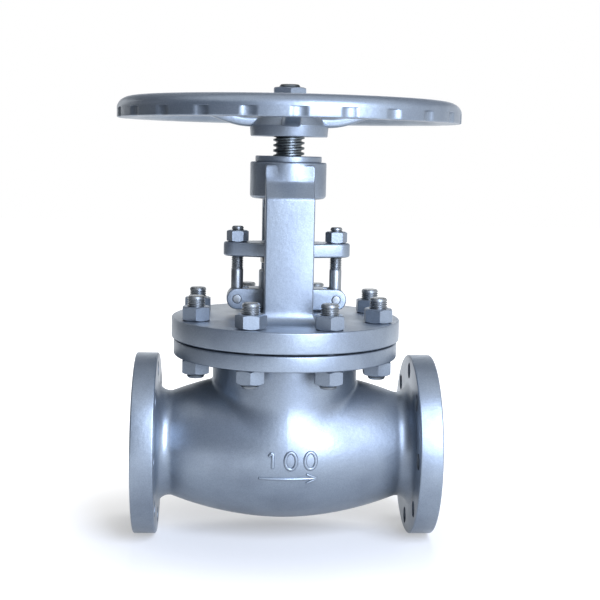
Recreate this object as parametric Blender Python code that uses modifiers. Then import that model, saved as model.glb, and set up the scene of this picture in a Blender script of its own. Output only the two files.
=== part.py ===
"""Flanged cast-steel globe valve with an outside screw and yoke, as an assembly of separate pieces.

Metres, +Z up. The origin is where the pipe axis (X) crosses the stem axis (Z). Flow enters at -X,
passes up through the seat and leaves at +X. The valve is modelled closed, with the disc on its seat.
"""

import math

import bmesh
import bpy
from mathutils import Matrix

# Clearances
SEAT_GAP = 0.0003           # between faces that bear on each other
SLIP_GAP = 0.0003           # radial, between a shaft and the hole it turns or slides in
CUT_PAST = 0.004            # how far a cutter runs past the face that it opens

# Pipe run and end flanges
FACE_TO_FACE = 0.350
BORE_D = 0.100
PIPE_WALL = 0.011
END_BOLT_CIRCLE_D = 0.175
END_BOLT_HOLE_D = 0.019
END_BOLT_COUNT = 8
END_BOLT_EDGE = 0.008       # from a bolt hole to the flange rim
END_FLANGE_RIM = 0.026      # thickness without the raised face
RAISED_FACE_H = 0.002
RAISED_FACE_GAP = 0.0025    # from the raised face to the bolt holes
END_FLANGE_FILLET = 0.014
RIM_CHAMFER = 0.0015

# Belly, bonnet neck and the bridge that carries the seat
BELLY_D = 0.171
BELLY_WALL = 0.010
BONNET_NECK_INSET = 0.0015  # the round bonnet neck is this much narrower than the belly
BONNET_NECK_WALL = 0.015    # from the bonnet's spigot to the outside of the neck
BONNET_NECK_FILLET = 0.007
JOINT_HEIGHT = 0.1247       # pipe axis to the top of the body's bonnet flange
BODY_FLANGE_T = 0.0178
BRIDGE_T = 0.011
BRIDGE_TOP = 0.0115         # pipe axis to the top of the bridge
BRIDGE_MARGIN = 0.011       # bridge beside the seat ring
BRIDGE_LEAN = 0.024         # how far the bridge's two end walls lean outwards

# Bonnet joint
GASKET_T = 0.0015
GASKET_WIDTH = 0.016
GASKET_INSET = 0.002        # from the bonnet bore to the gasket
STUD_D = 0.020
STUD_HOLE_CLEARANCE = 0.001
STUD_COUNT = 8
STUD_FOOT_END = 0.005       # stud standing out of its lower nut
STUD_TOP_END = 0.012        # and out of its upper nut
NUT_FLATS = 0.030
NUT_H = 0.016
NUT_WRENCH_GAP = 0.003      # from the bonnet neck's fillet to the nut corners
FLAT_ON_TURN = 30.0         # degrees that bring a nut's flat to the front in place of a corner
FLAT_ON_NUTS = (2, 6)       # top nuts tightened with a flat to the front
BODY_FLANGE_EDGE = 0.0182   # from the bolt circle to the rim
BONNET_FLANGE_EDGE = 0.0207
BONNET_FLANGE_T = 0.0238
SPIGOT_H = 0.006

# Stem, seat, disc
STEM_D = 0.036
LIFT = 0.030
SEAT_STEP = 0.004           # the seat's throat is this much smaller than the pipe bore, in radius
SEAT_RING_WALL = 0.011
SEAT_RING_SUNK = 0.0065     # how deep the ring sits in the bridge
SEAT_RING_PROUD = 0.0055    # how far it stands above the bridge
SEAT_CONE = 0.005
DISC_PLATE_T = 0.013
DISC_OVERHANG = 0.004       # the disc's rim outside the seat cone
DISC_FLOOR = 0.0115         # metal under the stem's collar
STEM_COLLAR_STEP = 0.004
STEM_COLLAR_T = 0.0155
DISC_NUT_WALL = 0.012
DISC_NUT_H = 0.017
DISC_HUB_WALL = 0.0075
BUSH_WALL = 0.006
BUSH_CONE = 0.0045
BACKSEAT_LAND = 0.010
BACKSEAT_GAP = 0.0006       # left between stem shoulder and bush with the valve wide open

# Stuffing box and gland
PACKING_WIDTH = 0.0075
PACKING_RING_H = 0.0095
PACKING_COUNT = 4
PACKING_WASHER_T = 0.003
STUFFING_WALL = 0.006
STUFFING_FLOOR = 0.018      # bonnet metal round the backseat bush
STUFFING_RAISE = 0.0012     # floor of the stuffing box above the bonnet flange
GLAND_ENTRY = 0.010         # how far the follower reaches into the stuffing box
GLAND_SLEEVE_SHOWS = 0.009
GLAND_HEAD_T = 0.007
GLAND_HEAD_STEP = 0.005
GLAND_FLANGE_T = 0.016
GLAND_FLANGE_EDGE = 0.016
GLAND_FLANGE_RIM = 0.013    # metal round the stem hole
EYEBOLT_D = 0.014
EYEBOLT_REACH = 0.025       # stuffing box wall to the bolt's centre line
EYE_R = 0.012
EYE_T = 0.016
EYE_PIN_D = 0.010
LUG_EAR_T = 0.008
LUG_SLOT_GAP = 0.0015       # behind the eye
LUG_HEIGHT = 0.0215         # pin above the bonnet flange
GLAND_NUT_FLATS = 0.022
GLAND_NUT_H = 0.013
EYEBOLT_END = 0.005

# Yoke
DOME_H = 0.007
DOME_INSET = 0.008          # from the outside of the yoke arms to the dome
DOME_FILLET = 0.006
ARM_GAP = 0.0135            # stuffing box to the yoke arms
ARM_T = 0.016
ARM_WIDTH = 0.055
WINDOW_H = 0.137            # bonnet flange to the underside of the yoke's boss
WINDOW_CORNER = 0.014
BOSS_H = 0.0415
BOSS_WALL = 0.0125
BOSS_ROUND = 0.004
ARM_SHOULDER = 0.002        # arms run straight this far above the boss's underside
ARM_SLOPE_H = 0.018
YOKE_NUT_WALL = 0.012
YOKE_NUT_FLANGE_T = 0.0065
YOKE_NUT_FLANGE_STEP = 0.0075

# Handwheel
THREAD_SHOWS = 0.022        # stem thread between the yoke nut and the hub
WHEEL_D = 0.390
WHEEL_DISH = 0.019          # rim above the hub's underside
RIM_H = 0.0225
RIM_WIDTH = 0.028
RIM_FACE_H = 0.011
RIM_ROUND = 0.012
HUB_D = 0.090
HUB_BASE_H = 0.0125
HUB_CONE_H = 0.016          # from the hub's shoulder to its neck
HUB_NECK_D = 0.060
HUB_H = 0.033
SPOKE_COUNT = 4
SPOKE_WIDTH = 0.022
SPOKE_DEPTH = 0.011
SPOKE_ROUND = 0.004
SPOKE_EMBED = 0.008         # how far the spokes run into hub and rim
SPOKE_BEND = 0.055          # length of the sweep up from hub to rim
SPOKE_RISE = 0.014
SPOKE_LIFT = 0.0012         # underside of the spokes above the hub's shoulder
NOTCH_COUNT = 24
NOTCH_R = 0.016
NOTCH_DEPTH = 0.0025
STEM_SQUARE = 0.027
WHEEL_STUD_D = 0.024
WHEEL_NUT_FLATS = 0.036
WHEEL_NUT_H = 0.019
WHEEL_WASHER_D = 0.044
WHEEL_WASHER_T = 0.003
WHEEL_STUD_END = 0.0035

# Facets
FINE_STEPS = 24
ROUND_STEPS = 20
BOLT_STEPS = 10
ARC_STEPS = 2
BELLY_STEPS = 6
BORE_SIDE_STEPS = 4         # inner side of the handwheel's rim
SPOKE_STEPS = 6
END_STEPS = 8               # half-round ends of the lugs and the gland flange
CREASE_ANGLE = 30.0         # degrees, from which an edge is shaded crisp
MERGE = 0.00001             # points nearer than this are one


def around(radius, steps):
    """Corner radius of a faceted hole whose flats clear a shaft of that radius by the slip gap."""
    return (radius + SLIP_GAP) / math.cos(math.pi / steps)


# Radii and heights that follow from the sizes above
bore_r = BORE_D / 2
pipe_r = bore_r + PIPE_WALL
end_hole_r = END_BOLT_HOLE_D / 2
end_flange_r = END_BOLT_CIRCLE_D / 2 + end_hole_r + END_BOLT_EDGE
raised_face_r = END_BOLT_CIRCLE_D / 2 - end_hole_r - RAISED_FACE_GAP
belly_r = BELLY_D / 2
neck_r = belly_r - BONNET_NECK_INSET
spigot_r = neck_r - BONNET_NECK_WALL
neck_bore_r = around(spigot_r, FINE_STEPS)

stem_r = STEM_D / 2
stem_hole_r = around(stem_r, ROUND_STEPS)
stud_r = STUD_D / 2
nut_corner_r = NUT_FLATS / math.sqrt(3)
stud_circle_r = neck_r + BONNET_NECK_FILLET + NUT_WRENCH_GAP + nut_corner_r
body_flange_r = stud_circle_r + BODY_FLANGE_EDGE
bonnet_flange_r = stud_circle_r + BONNET_FLANGE_EDGE
body_flange_under = JOINT_HEIGHT - BODY_FLANGE_T
bonnet_face = JOINT_HEIGHT + GASKET_T + 2 * SEAT_GAP
bonnet_top = bonnet_face + BONNET_FLANGE_T

throat_r = bore_r - SEAT_STEP
seat_ring_r = throat_r + SEAT_RING_WALL
seat_ring_foot = BRIDGE_TOP - SEAT_RING_SUNK + SEAT_GAP
seat_ring_top = BRIDGE_TOP + SEAT_RING_PROUD
bridge_half = seat_ring_r + SEAT_GAP + BRIDGE_MARGIN

cone_gap = SEAT_GAP * math.sqrt(2)
disc_foot = seat_ring_top - SEAT_CONE + cone_gap
disc_rim_under = seat_ring_top + cone_gap
disc_rim_r = throat_r + SEAT_CONE + DISC_OVERHANG
collar_foot = disc_foot + DISC_FLOOR + SEAT_GAP
collar_top = collar_foot + STEM_COLLAR_T
collar_r = stem_r + STEM_COLLAR_STEP
disc_nut_r = stem_hole_r + DISC_NUT_WALL
disc_nut_foot = collar_top + 2 * SEAT_GAP
disc_hub_r = disc_nut_r + DISC_HUB_WALL

bush_r = stem_hole_r + BUSH_WALL
packing_r = stem_r + PACKING_WIDTH
stuffing_r = around(packing_r, FINE_STEPS)
stuffing_outer_r = stuffing_r + STUFFING_WALL
stuffing_foot = bonnet_top + STUFFING_RAISE
bush_foot = stuffing_foot - STUFFING_FLOOR
shoulder_r = bush_r - SLIP_GAP
shoulder_top = bush_foot + BUSH_CONE - LIFT - BACKSEAT_GAP
washer_foot = stuffing_foot + SEAT_GAP
packing_foot = washer_foot + PACKING_WASHER_T + SEAT_GAP
follower_foot = packing_foot + PACKING_COUNT * (PACKING_RING_H + SEAT_GAP)
stuffing_top = follower_foot + GLAND_ENTRY
follower_head = stuffing_top + GLAND_SLEEVE_SHOWS
follower_top = follower_head + GLAND_HEAD_T
gland_foot = follower_top + SEAT_GAP
gland_top = gland_foot + GLAND_FLANGE_T
eyebolt_r = EYEBOLT_D / 2
eyebolt_x = stuffing_outer_r + EYEBOLT_REACH
eyebolt_hole_r = around(eyebolt_r, BOLT_STEPS)
pin_r = EYE_PIN_D / 2
pin_hole_r = around(pin_r, BOLT_STEPS)
pin_height = bonnet_top + LUG_HEIGHT
lug_half = EYE_T / 2 + SEAT_GAP + LUG_EAR_T
eyebolt_top = gland_top + SEAT_GAP + GLAND_NUT_H + EYEBOLT_END

arm_inner = stuffing_outer_r + ARM_GAP
arm_outer = arm_inner + ARM_T
dome_r = arm_outer - DOME_INSET
dome_top = bonnet_top + DOME_H
boss_foot = bonnet_top + WINDOW_H
boss_top = boss_foot + BOSS_H
yoke_nut_r = stem_hole_r + YOKE_NUT_WALL
boss_bore_r = around(yoke_nut_r, ROUND_STEPS)
boss_r = boss_bore_r + BOSS_WALL
yoke_nut_top = boss_top + SEAT_GAP + YOKE_NUT_FLANGE_T

hub_foot = yoke_nut_top + THREAD_SHOWS
hub_top = hub_foot + HUB_H
wheel_stud_r = WHEEL_STUD_D / 2
wheel_nut_foot = hub_top + 2 * SEAT_GAP + WHEEL_WASHER_T
stem_top = wheel_nut_foot + WHEEL_NUT_H + WHEEL_STUD_END


def oval_arc(centre, across, up, start, end, steps=ARC_STEPS):
    """Points of an arc of an oval in a profile plane, angles in degrees from the first axis."""
    angles = [math.radians(start + (end - start) * i / steps) for i in range(steps + 1)]
    return [(centre[0] + across * math.cos(a), centre[1] + up * math.sin(a)) for a in angles]


def arc(centre, radius, start, end, steps=ARC_STEPS):
    return oval_arc(centre, radius, radius, start, end, steps)


def new_collection(name):
    collection = bpy.data.collections.new(name)
    bpy.context.scene.collection.children.link(collection)
    return collection


def finish(name, colour, roughness, metallic):
    """A Principled material, named for the piece that wears it."""
    material = bpy.data.materials.new(name)
    material.use_nodes = True
    shader = material.node_tree.nodes["Principled BSDF"]
    shader.inputs["Base Color"].default_value = (*colour, 1.0)
    shader.inputs["Roughness"].default_value = roughness
    shader.inputs["Metallic"].default_value = metallic
    return material


def silver_paint(name):
    return finish(name + "_silver_paint", (0.40, 0.43, 0.46), 0.42, 0.55)


def stainless(name):
    return finish(name + "_stainless_steel", (0.56, 0.57, 0.58), 0.28, 1.0)


def graphite(name):
    return finish(name + "_graphite", (0.05, 0.05, 0.055), 0.65, 0.2)


def bronze(name):
    return finish(name + "_bronze", (0.55, 0.38, 0.17), 0.35, 1.0)


def add_object(name, mesh, collection, material=None, location=(0, 0, 0)):
    obj = bpy.data.objects.new(name, mesh)
    obj.location = location
    collection.objects.link(obj)
    if material is not None and not mesh.materials:
        mesh.materials.append(material)
    if collection is cutters:
        obj.hide_render = True
        obj.display_type = "WIRE"
    return obj


def turned(name, profile, collection, material=None, location=(0, 0, 0), steps=ROUND_STEPS, ring=True,
           start=0.0):
    """A piece turned about Z. The profile (radius, height) runs down its outer side; a ring's profile
    is closed, and a solid's starts and ends on the axis. The first corner is at the start angle."""
    mesh = bpy.data.meshes.new(name)
    count = len(profile)
    edges = [(i, (i + 1) % count) for i in range(count if ring else count - 1)]
    mesh.from_pydata([(r * math.cos(start), r * math.sin(start), z) for r, z in profile], edges, [])
    obj = add_object(name, mesh, collection, material, location)
    screw = obj.modifiers.new("Turn", "SCREW")
    screw.steps = steps
    screw.render_steps = steps
    screw.use_merge_vertices = True
    screw.merge_threshold = MERGE
    return obj


def plain_ring(name, outer_r, inner_r, height, collection, material, location, steps=ROUND_STEPS):
    profile = [(outer_r, height), (outer_r, 0.0), (inner_r, 0.0), (inner_r, height)]
    return turned(name, profile, collection, material, location, steps)


def cylinders(name, radius, foot, top, centres, steps=BOLT_STEPS, collection=None):
    """One upright cylinder at each centre (x, y), in one mesh, each with a flat towards the axis."""
    bm = bmesh.new()
    for x, y in centres:
        flat_on = Matrix.Rotation(math.atan2(y, x) - math.pi / 2 + math.pi / steps, 4, "Z")
        place = Matrix.Translation((x, y, (foot + top) / 2)) @ flat_on
        bmesh.ops.create_cone(bm, cap_ends=True, segments=steps, radius1=radius, radius2=radius,
                              depth=top - foot, matrix=place)
    mesh = bpy.data.meshes.new(name)
    bm.to_mesh(mesh)
    bm.free()
    return add_object(name, mesh, collection or cutters)


def box(name, low, high):
    bm = bmesh.new()
    size = [b - a for a, b in zip(low, high)]
    middle = [(a + b) / 2 for a, b in zip(low, high)]
    place = Matrix.Translation(middle) @ Matrix.Diagonal((*size, 1.0))
    bmesh.ops.create_cube(bm, size=1.0, matrix=place)
    mesh = bpy.data.meshes.new(name)
    bm.to_mesh(mesh)
    bm.free()
    return add_object(name, mesh, cutters)


def drawn_curve(name, points, closed, dimensions="2D"):
    """A curve object through the points, which have two or three coordinates each."""
    curve = bpy.data.curves.new(name, "CURVE")
    curve.dimensions = dimensions
    spline = curve.splines.new("POLY")
    spline.points.add(len(points) - 1)
    for point, place in zip(spline.points, points):
        point.co = (*place, 0.0, 0.0)[:3] + (1.0,)
    spline.use_cyclic_u = closed
    drawn = bpy.data.objects.new(name, curve)
    bpy.context.scene.collection.objects.link(drawn)
    return drawn


def solid_of(drawn, name):
    """The closed mesh of a filled curve object, which is then removed."""
    mesh = bpy.data.meshes.new_from_object(drawn.evaluated_get(bpy.context.evaluated_depsgraph_get()))
    bpy.data.curves.remove(drawn.data)
    bm = bmesh.new()
    bm.from_mesh(mesh)
    bmesh.ops.remove_doubles(bm, verts=bm.verts, dist=MERGE)
    bmesh.ops.recalc_face_normals(bm, faces=bm.faces)
    bm.to_mesh(mesh)
    bm.free()
    mesh.name = name
    return mesh


def outlined(name, points, half_depth, collection, material=None, upright=False, location=(0, 0, 0)):
    """A flat outline in XY, extruded to both sides. Upright ones are turned to stand in XZ."""
    drawn = drawn_curve(name + "_outline", points, True)
    drawn.data.fill_mode = "BOTH"
    drawn.data.extrude = half_depth
    mesh = solid_of(drawn, name)
    if upright:
        mesh.transform(Matrix.Rotation(math.pi / 2, 4, "X"))
    return add_object(name, mesh, collection, material, location)


def swept(name, path, section, collection):
    """A closed section (across, up) carried along a path of (x, y, z) points, with its ends filled."""
    profile = drawn_curve(name + "_section", section, True)
    drawn = drawn_curve(name + "_path", path, False, "3D")
    drawn.data.twist_mode = "Z_UP"
    drawn.data.bevel_mode = "OBJECT"
    drawn.data.bevel_object = profile
    drawn.data.use_fill_caps = True
    mesh = solid_of(drawn, name)
    bpy.data.curves.remove(profile.data)
    return add_object(name, mesh, collection)


def combine(obj, operation, other):
    boolean = obj.modifiers.new(operation.title() + " " + other.name, "BOOLEAN")
    boolean.operation = operation
    boolean.object = other
    return obj


def circle_points(radius, count, start=0.0):
    angles = [math.radians(start + 360.0 * i / count) for i in range(count)]
    return [(radius * math.cos(a), radius * math.sin(a)) for a in angles]


def bake(obj):
    """Gives the object its modelled mesh, shaded smooth with crisp machined edges."""
    mesh = bpy.data.meshes.new_from_object(obj.evaluated_get(bpy.context.evaluated_depsgraph_get()))
    mesh.name = obj.name
    mesh.shade_smooth()
    mesh.set_sharp_from_angle(angle=math.radians(CREASE_ANGLE))
    obj.modifiers.clear()
    obj.data = mesh


def hex_nut(name, flats, height, hole_r, material, location, shared=None, turn=0.0, steps=BOLT_STEPS):
    """A hexagon nut with its bearing face at its origin. Like nuts share one mesh."""
    if shared is None:
        bm = bmesh.new()
        corner_r = flats / math.sqrt(3)
        bmesh.ops.create_cone(bm, cap_ends=True, segments=6, radius1=corner_r, radius2=corner_r,
                              depth=height, matrix=Matrix.Translation((0, 0, height / 2)))
        mesh = bpy.data.meshes.new(name)
        bm.to_mesh(mesh)
        bm.free()
        nut = add_object(name, mesh, valve, material)
        hole = cylinders(name + "_hole", hole_r, -CUT_PAST, height + CUT_PAST, [(0, 0)], steps)
        combine(nut, "DIFFERENCE", hole)
        bake(nut)
    else:
        nut = add_object(name, shared, valve)
    nut.location = location
    nut.rotation_euler.z = math.radians(turn)
    return nut


def end_profile():
    """The outer half profile of one pipe end and half the belly: (radius, distance along the pipe)."""
    face = FACE_TO_FACE / 2
    rim_face = face - RAISED_FACE_H
    rim_back = rim_face - END_FLANGE_RIM
    rim = [
        (0.0, face), (raised_face_r, face), (raised_face_r, rim_face),
        (end_flange_r - RIM_CHAMFER, rim_face), (end_flange_r, rim_face - RIM_CHAMFER),
        (end_flange_r, rim_back + RIM_CHAMFER), (end_flange_r - RIM_CHAMFER, rim_back),
    ]
    fillet = arc((pipe_r + END_FLANGE_FILLET, rim_back - END_FLANGE_FILLET), END_FLANGE_FILLET, 90, 180)
    return rim + fillet, rim_back - END_FLANGE_FILLET


def barrel(rise, half_length, radius, steps):
    """Points of an arc that bulges by rise over half_length on each side of the middle."""
    arc_r = (half_length ** 2 + rise ** 2) / (2 * rise)
    half_angle = math.degrees(math.asin(half_length / arc_r))
    return arc((radius - arc_r, 0.0), arc_r, half_angle, -half_angle, steps)


def mirrored_profile(half, middle):
    """A profile that is the same at both ends of the pipe: one end, the belly, and the other end."""
    return half + middle + [(r, -z) for r, z in reversed(half)]


def make_body():
    half, fillet_end = end_profile()
    middle = barrel(belly_r - pipe_r, fillet_end, belly_r, BELLY_STEPS)[1:-1]
    body = turned("body", mirrored_profile(half, middle), valve, silver_paint("body"),
                  steps=FINE_STEPS, ring=False)
    body.rotation_euler.y = math.pi / 2

    neck_top = body_flange_under - BONNET_NECK_FILLET
    fillet = arc((neck_r + BONNET_NECK_FILLET, neck_top), BONNET_NECK_FILLET, 90, 180)
    neck = turned("bonnet_neck_form", [
        (0.0, JOINT_HEIGHT), (body_flange_r - RIM_CHAMFER, JOINT_HEIGHT),
        (body_flange_r, JOINT_HEIGHT - RIM_CHAMFER), (body_flange_r, body_flange_under + RIM_CHAMFER),
        (body_flange_r - RIM_CHAMFER, body_flange_under), *fillet, (neck_r, 0.0), (0.0, 0.0),
    ], cutters, steps=FINE_STEPS, ring=False)
    combine(body, "UNION", neck)
    combine(body, "DIFFERENCE", make_passages())
    combine(body, "DIFFERENCE", make_seat_pocket())

    rim_face = FACE_TO_FACE / 2
    for name, side in (("inlet_bolt_holes", -1), ("outlet_bolt_holes", 1)):
        foot = side * rim_face - (END_FLANGE_RIM + RAISED_FACE_H + CUT_PAST if side > 0 else CUT_PAST)
        top = foot + END_FLANGE_RIM + RAISED_FACE_H + 2 * CUT_PAST
        holes = cylinders(name, end_hole_r, foot, top,
                          circle_points(END_BOLT_CIRCLE_D / 2, END_BOLT_COUNT))
        holes.rotation_euler.y = math.pi / 2
        combine(body, "DIFFERENCE", holes)
    combine(body, "DIFFERENCE", stud_holes("body_stud_holes", body_flange_under, JOINT_HEIGHT))
    return body


def stud_places():
    return circle_points(stud_circle_r, STUD_COUNT, 180.0 / STUD_COUNT)


def stud_holes(name, foot, top):
    return cylinders(name, stud_r + STUD_HOLE_CLEARANCE, foot - CUT_PAST, top + CUT_PAST, stud_places())


def make_passages():
    """The body's two passages: a barrel and the bonnet neck's bore, split by the S-shaped bridge wall."""
    inner_r = belly_r - BELLY_WALL
    reach = FACE_TO_FACE / 2
    run_half = reach - RAISED_FACE_H - END_FLANGE_RIM - END_FLANGE_FILLET
    middle = barrel(inner_r - bore_r, run_half, inner_r, BELLY_STEPS)
    ends = [(0.0, reach + CUT_PAST), (bore_r, reach + CUT_PAST)]
    passages = turned("passages_form", mirrored_profile(ends, middle), cutters,
                      steps=FINE_STEPS, ring=False, start=math.pi / FINE_STEPS)
    passages.rotation_euler.y = math.pi / 2
    bonnet_bore = cylinders("bonnet_bore_form", neck_bore_r, 0.0, JOINT_HEIGHT + CUT_PAST,
                            [(0, 0)], FINE_STEPS)
    combine(passages, "UNION", bonnet_bore)

    wall_x = bridge_half + BRIDGE_LEAN
    bridge_foot = BRIDGE_TOP - BRIDGE_T
    bridge = outlined("bridge_form", [
        (-bridge_half, BRIDGE_TOP), (-wall_x, belly_r), (-wall_x - BRIDGE_T, belly_r),
        (-bridge_half - BRIDGE_T, bridge_foot), (bridge_half, bridge_foot), (wall_x, -belly_r),
        (wall_x + BRIDGE_T, -belly_r), (bridge_half + BRIDGE_T, BRIDGE_TOP),
    ], belly_r, cutters, upright=True)
    return combine(passages, "DIFFERENCE", bridge)


def make_seat_pocket():
    """The stepped hole through the bridge that the seat ring sits in."""
    shelf = BRIDGE_TOP - SEAT_RING_SUNK
    over = BRIDGE_TOP + CUT_PAST
    under = BRIDGE_TOP - BRIDGE_T - CUT_PAST
    pocket_r = around(seat_ring_r, FINE_STEPS)
    return turned("seat_pocket", [
        (0.0, over), (pocket_r, over), (pocket_r, shelf), (throat_r, shelf), (throat_r, under), (0.0, under),
    ], cutters, steps=FINE_STEPS, ring=False)


def make_seat_and_disc():
    turned("seat_ring", [
        (seat_ring_r, seat_ring_top), (seat_ring_r, seat_ring_foot), (throat_r, seat_ring_foot),
        (throat_r, seat_ring_top - SEAT_CONE), (throat_r + SEAT_CONE, seat_ring_top),
    ], valve, stainless("seat_ring"), steps=FINE_STEPS)

    pocket_r = around(collar_r, FINE_STEPS)
    nut_pocket_r = around(disc_nut_r, FINE_STEPS)
    floor = disc_foot + DISC_FLOOR
    plate_top = disc_rim_under + DISC_PLATE_T
    hub_rim = disc_nut_foot + DISC_NUT_H
    step = disc_nut_foot - SEAT_GAP
    disc = turned("disc", [
        (0.0, floor), (pocket_r, floor), (pocket_r, step), (nut_pocket_r, step), (nut_pocket_r, hub_rim),
        (disc_hub_r, hub_rim), (disc_hub_r, plate_top + DISC_OVERHANG), (disc_rim_r, plate_top),
        (disc_rim_r, disc_rim_under), (throat_r + SEAT_CONE, disc_rim_under), (throat_r, disc_foot),
        (0.0, disc_foot),
    ], valve, stainless("disc"), steps=FINE_STEPS, ring=False)
    disc_nut = plain_ring("disc_nut", disc_nut_r, stem_hole_r, DISC_NUT_H, valve, stainless("disc_nut"),
                          (0, 0, disc_nut_foot))
    return [disc, disc_nut]


def make_stem():
    """Stem: collar in the disc, backseat shoulder, screwed length, square for the wheel, top thread."""
    half_square = STEM_SQUARE / 2
    square_r = half_square * math.sqrt(2) - RIM_CHAMFER
    shoulder_step = shoulder_r - stem_r
    stem = turned("stem", [
        (0.0, stem_top), (wheel_stud_r, stem_top), (wheel_stud_r, hub_top - SEAT_GAP),
        (square_r, hub_top - SEAT_GAP), (square_r, hub_foot - SEAT_GAP), (stem_r, hub_foot - SEAT_GAP),
        (stem_r, shoulder_top), (shoulder_r, shoulder_top - shoulder_step),
        (shoulder_r, shoulder_top - shoulder_step - BACKSEAT_LAND),
        (stem_r, shoulder_top - 2 * shoulder_step - BACKSEAT_LAND), (stem_r, collar_top),
        (collar_r, collar_top), (collar_r, collar_foot), (0.0, collar_foot),
    ], valve, stainless("stem"), ring=False)
    for name, turn in (("stem_flats_x", 0.0), ("stem_flats_y", math.pi / 2)):
        flats = cut_pair(name, half_square, hub_foot - SEAT_GAP, hub_top + CUT_PAST)
        flats.rotation_euler.z = turn
        combine(stem, "DIFFERENCE", flats)
    return stem


def cut_pair(name, half_gap, foot, top):
    """Two blocks, one on each side, that leave a flat-sided piece of twice half_gap between them."""
    reach = half_gap + stem_r
    bm = bmesh.new()
    for side in (-1, 1):
        place = Matrix.Translation((side * (half_gap + reach) / 2, 0.0, (foot + top) / 2))
        size = Matrix.Diagonal((reach - half_gap, 2 * reach, top - foot, 1.0))
        bmesh.ops.create_cube(bm, size=1.0, matrix=place @ size)
    mesh = bpy.data.meshes.new(name)
    bm.to_mesh(mesh)
    bm.free()
    return add_object(name, mesh, cutters)


def make_bonnet():
    spigot_foot = bonnet_face - SPIGOT_H
    bush_hole_r = around(bush_r, FINE_STEPS)
    dome_side = arc((dome_r + DOME_FILLET, bonnet_top + DOME_FILLET), DOME_FILLET, 180, 270)
    root = arc((stuffing_outer_r + DOME_FILLET, dome_top + DOME_FILLET), DOME_FILLET, 180, 270)
    bonnet = turned("bonnet", [
        (stuffing_outer_r, stuffing_top), *root, (dome_r - DOME_FILLET, dome_top), *dome_side,
        (bonnet_flange_r - RIM_CHAMFER, bonnet_top), (bonnet_flange_r, bonnet_top - RIM_CHAMFER),
        (bonnet_flange_r, bonnet_face + RIM_CHAMFER), (bonnet_flange_r - RIM_CHAMFER, bonnet_face),
        (spigot_r, bonnet_face), (spigot_r, spigot_foot), (spigot_r - BONNET_NECK_WALL, spigot_foot),
        (bush_hole_r + BUSH_WALL, bush_foot), (bush_hole_r, bush_foot),
        (bush_hole_r, stuffing_foot), (stuffing_r, stuffing_foot), (stuffing_r, stuffing_top),
    ], valve, silver_paint("bonnet"), steps=FINE_STEPS)
    combine(bonnet, "UNION", make_yoke_form())
    for name, side in (("left_lug", -1), ("right_lug", 1)):
        combine(bonnet, "UNION", make_lug(name, side))
        combine(bonnet, "DIFFERENCE", lug_slot(name, side))
        combine(bonnet, "DIFFERENCE", pin_cylinder(name + "_pin_hole", side, pin_hole_r, lug_half + CUT_PAST))
    boss_bore = cylinders("boss_bore", boss_bore_r, boss_foot - ARM_T - CUT_PAST, boss_top + CUT_PAST,
                          [(0, 0)], ROUND_STEPS)
    combine(bonnet, "DIFFERENCE", boss_bore)
    combine(bonnet, "DIFFERENCE", stud_holes("bonnet_stud_holes", bonnet_face, bonnet_top))
    return bonnet


def make_yoke_form():
    """The yoke: two arms with an arch between them, one outline in YZ, and the round boss on top."""
    foot = bonnet_top - CUT_PAST
    shoulder = boss_foot + ARM_SHOULDER
    slope_top = shoulder + ARM_SLOPE_H
    crown = boss_r - BOSS_ROUND
    corner = (arm_inner - WINDOW_CORNER, boss_foot - WINDOW_CORNER)
    right = [(arm_outer, foot), (arm_outer, shoulder), (crown, slope_top)]
    inside = arc(corner, WINDOW_CORNER, 90, 0) + [(arm_inner, foot)]
    left = [(-y, z) for y, z in reversed(right)]
    left_inside = [(-y, z) for y, z in reversed(inside)]
    yoke = outlined("yoke_form", right + left + left_inside + inside, ARM_WIDTH / 2, cutters, upright=True)
    yoke.rotation_euler.z = math.pi / 2
    boss = turned("boss_form", [
        (0.0, boss_top), *arc((boss_r - BOSS_ROUND, boss_top - BOSS_ROUND), BOSS_ROUND, 90, 0),
        *arc((boss_r - BOSS_ROUND, boss_foot + BOSS_ROUND), BOSS_ROUND, 0, -90), (0.0, boss_foot),
    ], cutters, steps=FINE_STEPS, ring=False)
    return combine(yoke, "UNION", boss)


def make_lug(name, side):
    """A round-ended lug on the stuffing box, for the gland bolt's pin."""
    root = stuffing_outer_r - STUFFING_WALL / 2
    tip = arc((eyebolt_x, pin_height), EYE_R, 90, -90, END_STEPS)
    outline = [(root, pin_height - EYE_R), (root, pin_height + EYE_R), *tip]
    return outlined(name, [(side * x, z) for x, z in outline], lug_half, cutters, upright=True)


def lug_slot(name, side):
    slot_half = EYE_T / 2 + SEAT_GAP
    near = side * (eyebolt_x - EYE_R - LUG_SLOT_GAP)
    far = side * (eyebolt_x + EYE_R + CUT_PAST)
    low = (min(near, far), -slot_half, pin_height - EYE_R - CUT_PAST)
    high = (max(near, far), slot_half, pin_height + EYE_R + CUT_PAST)
    return box(name + "_slot", low, high)


def pin_cylinder(name, side, radius, half_length, collection=None):
    """A cylinder along Y on the axis that a gland bolt swings about."""
    pin = cylinders(name, radius, -half_length, half_length, [(0, 0)], collection=collection)
    pin.rotation_euler.x = math.pi / 2
    pin.location = (side * eyebolt_x, 0.0, pin_height)
    return pin


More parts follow.
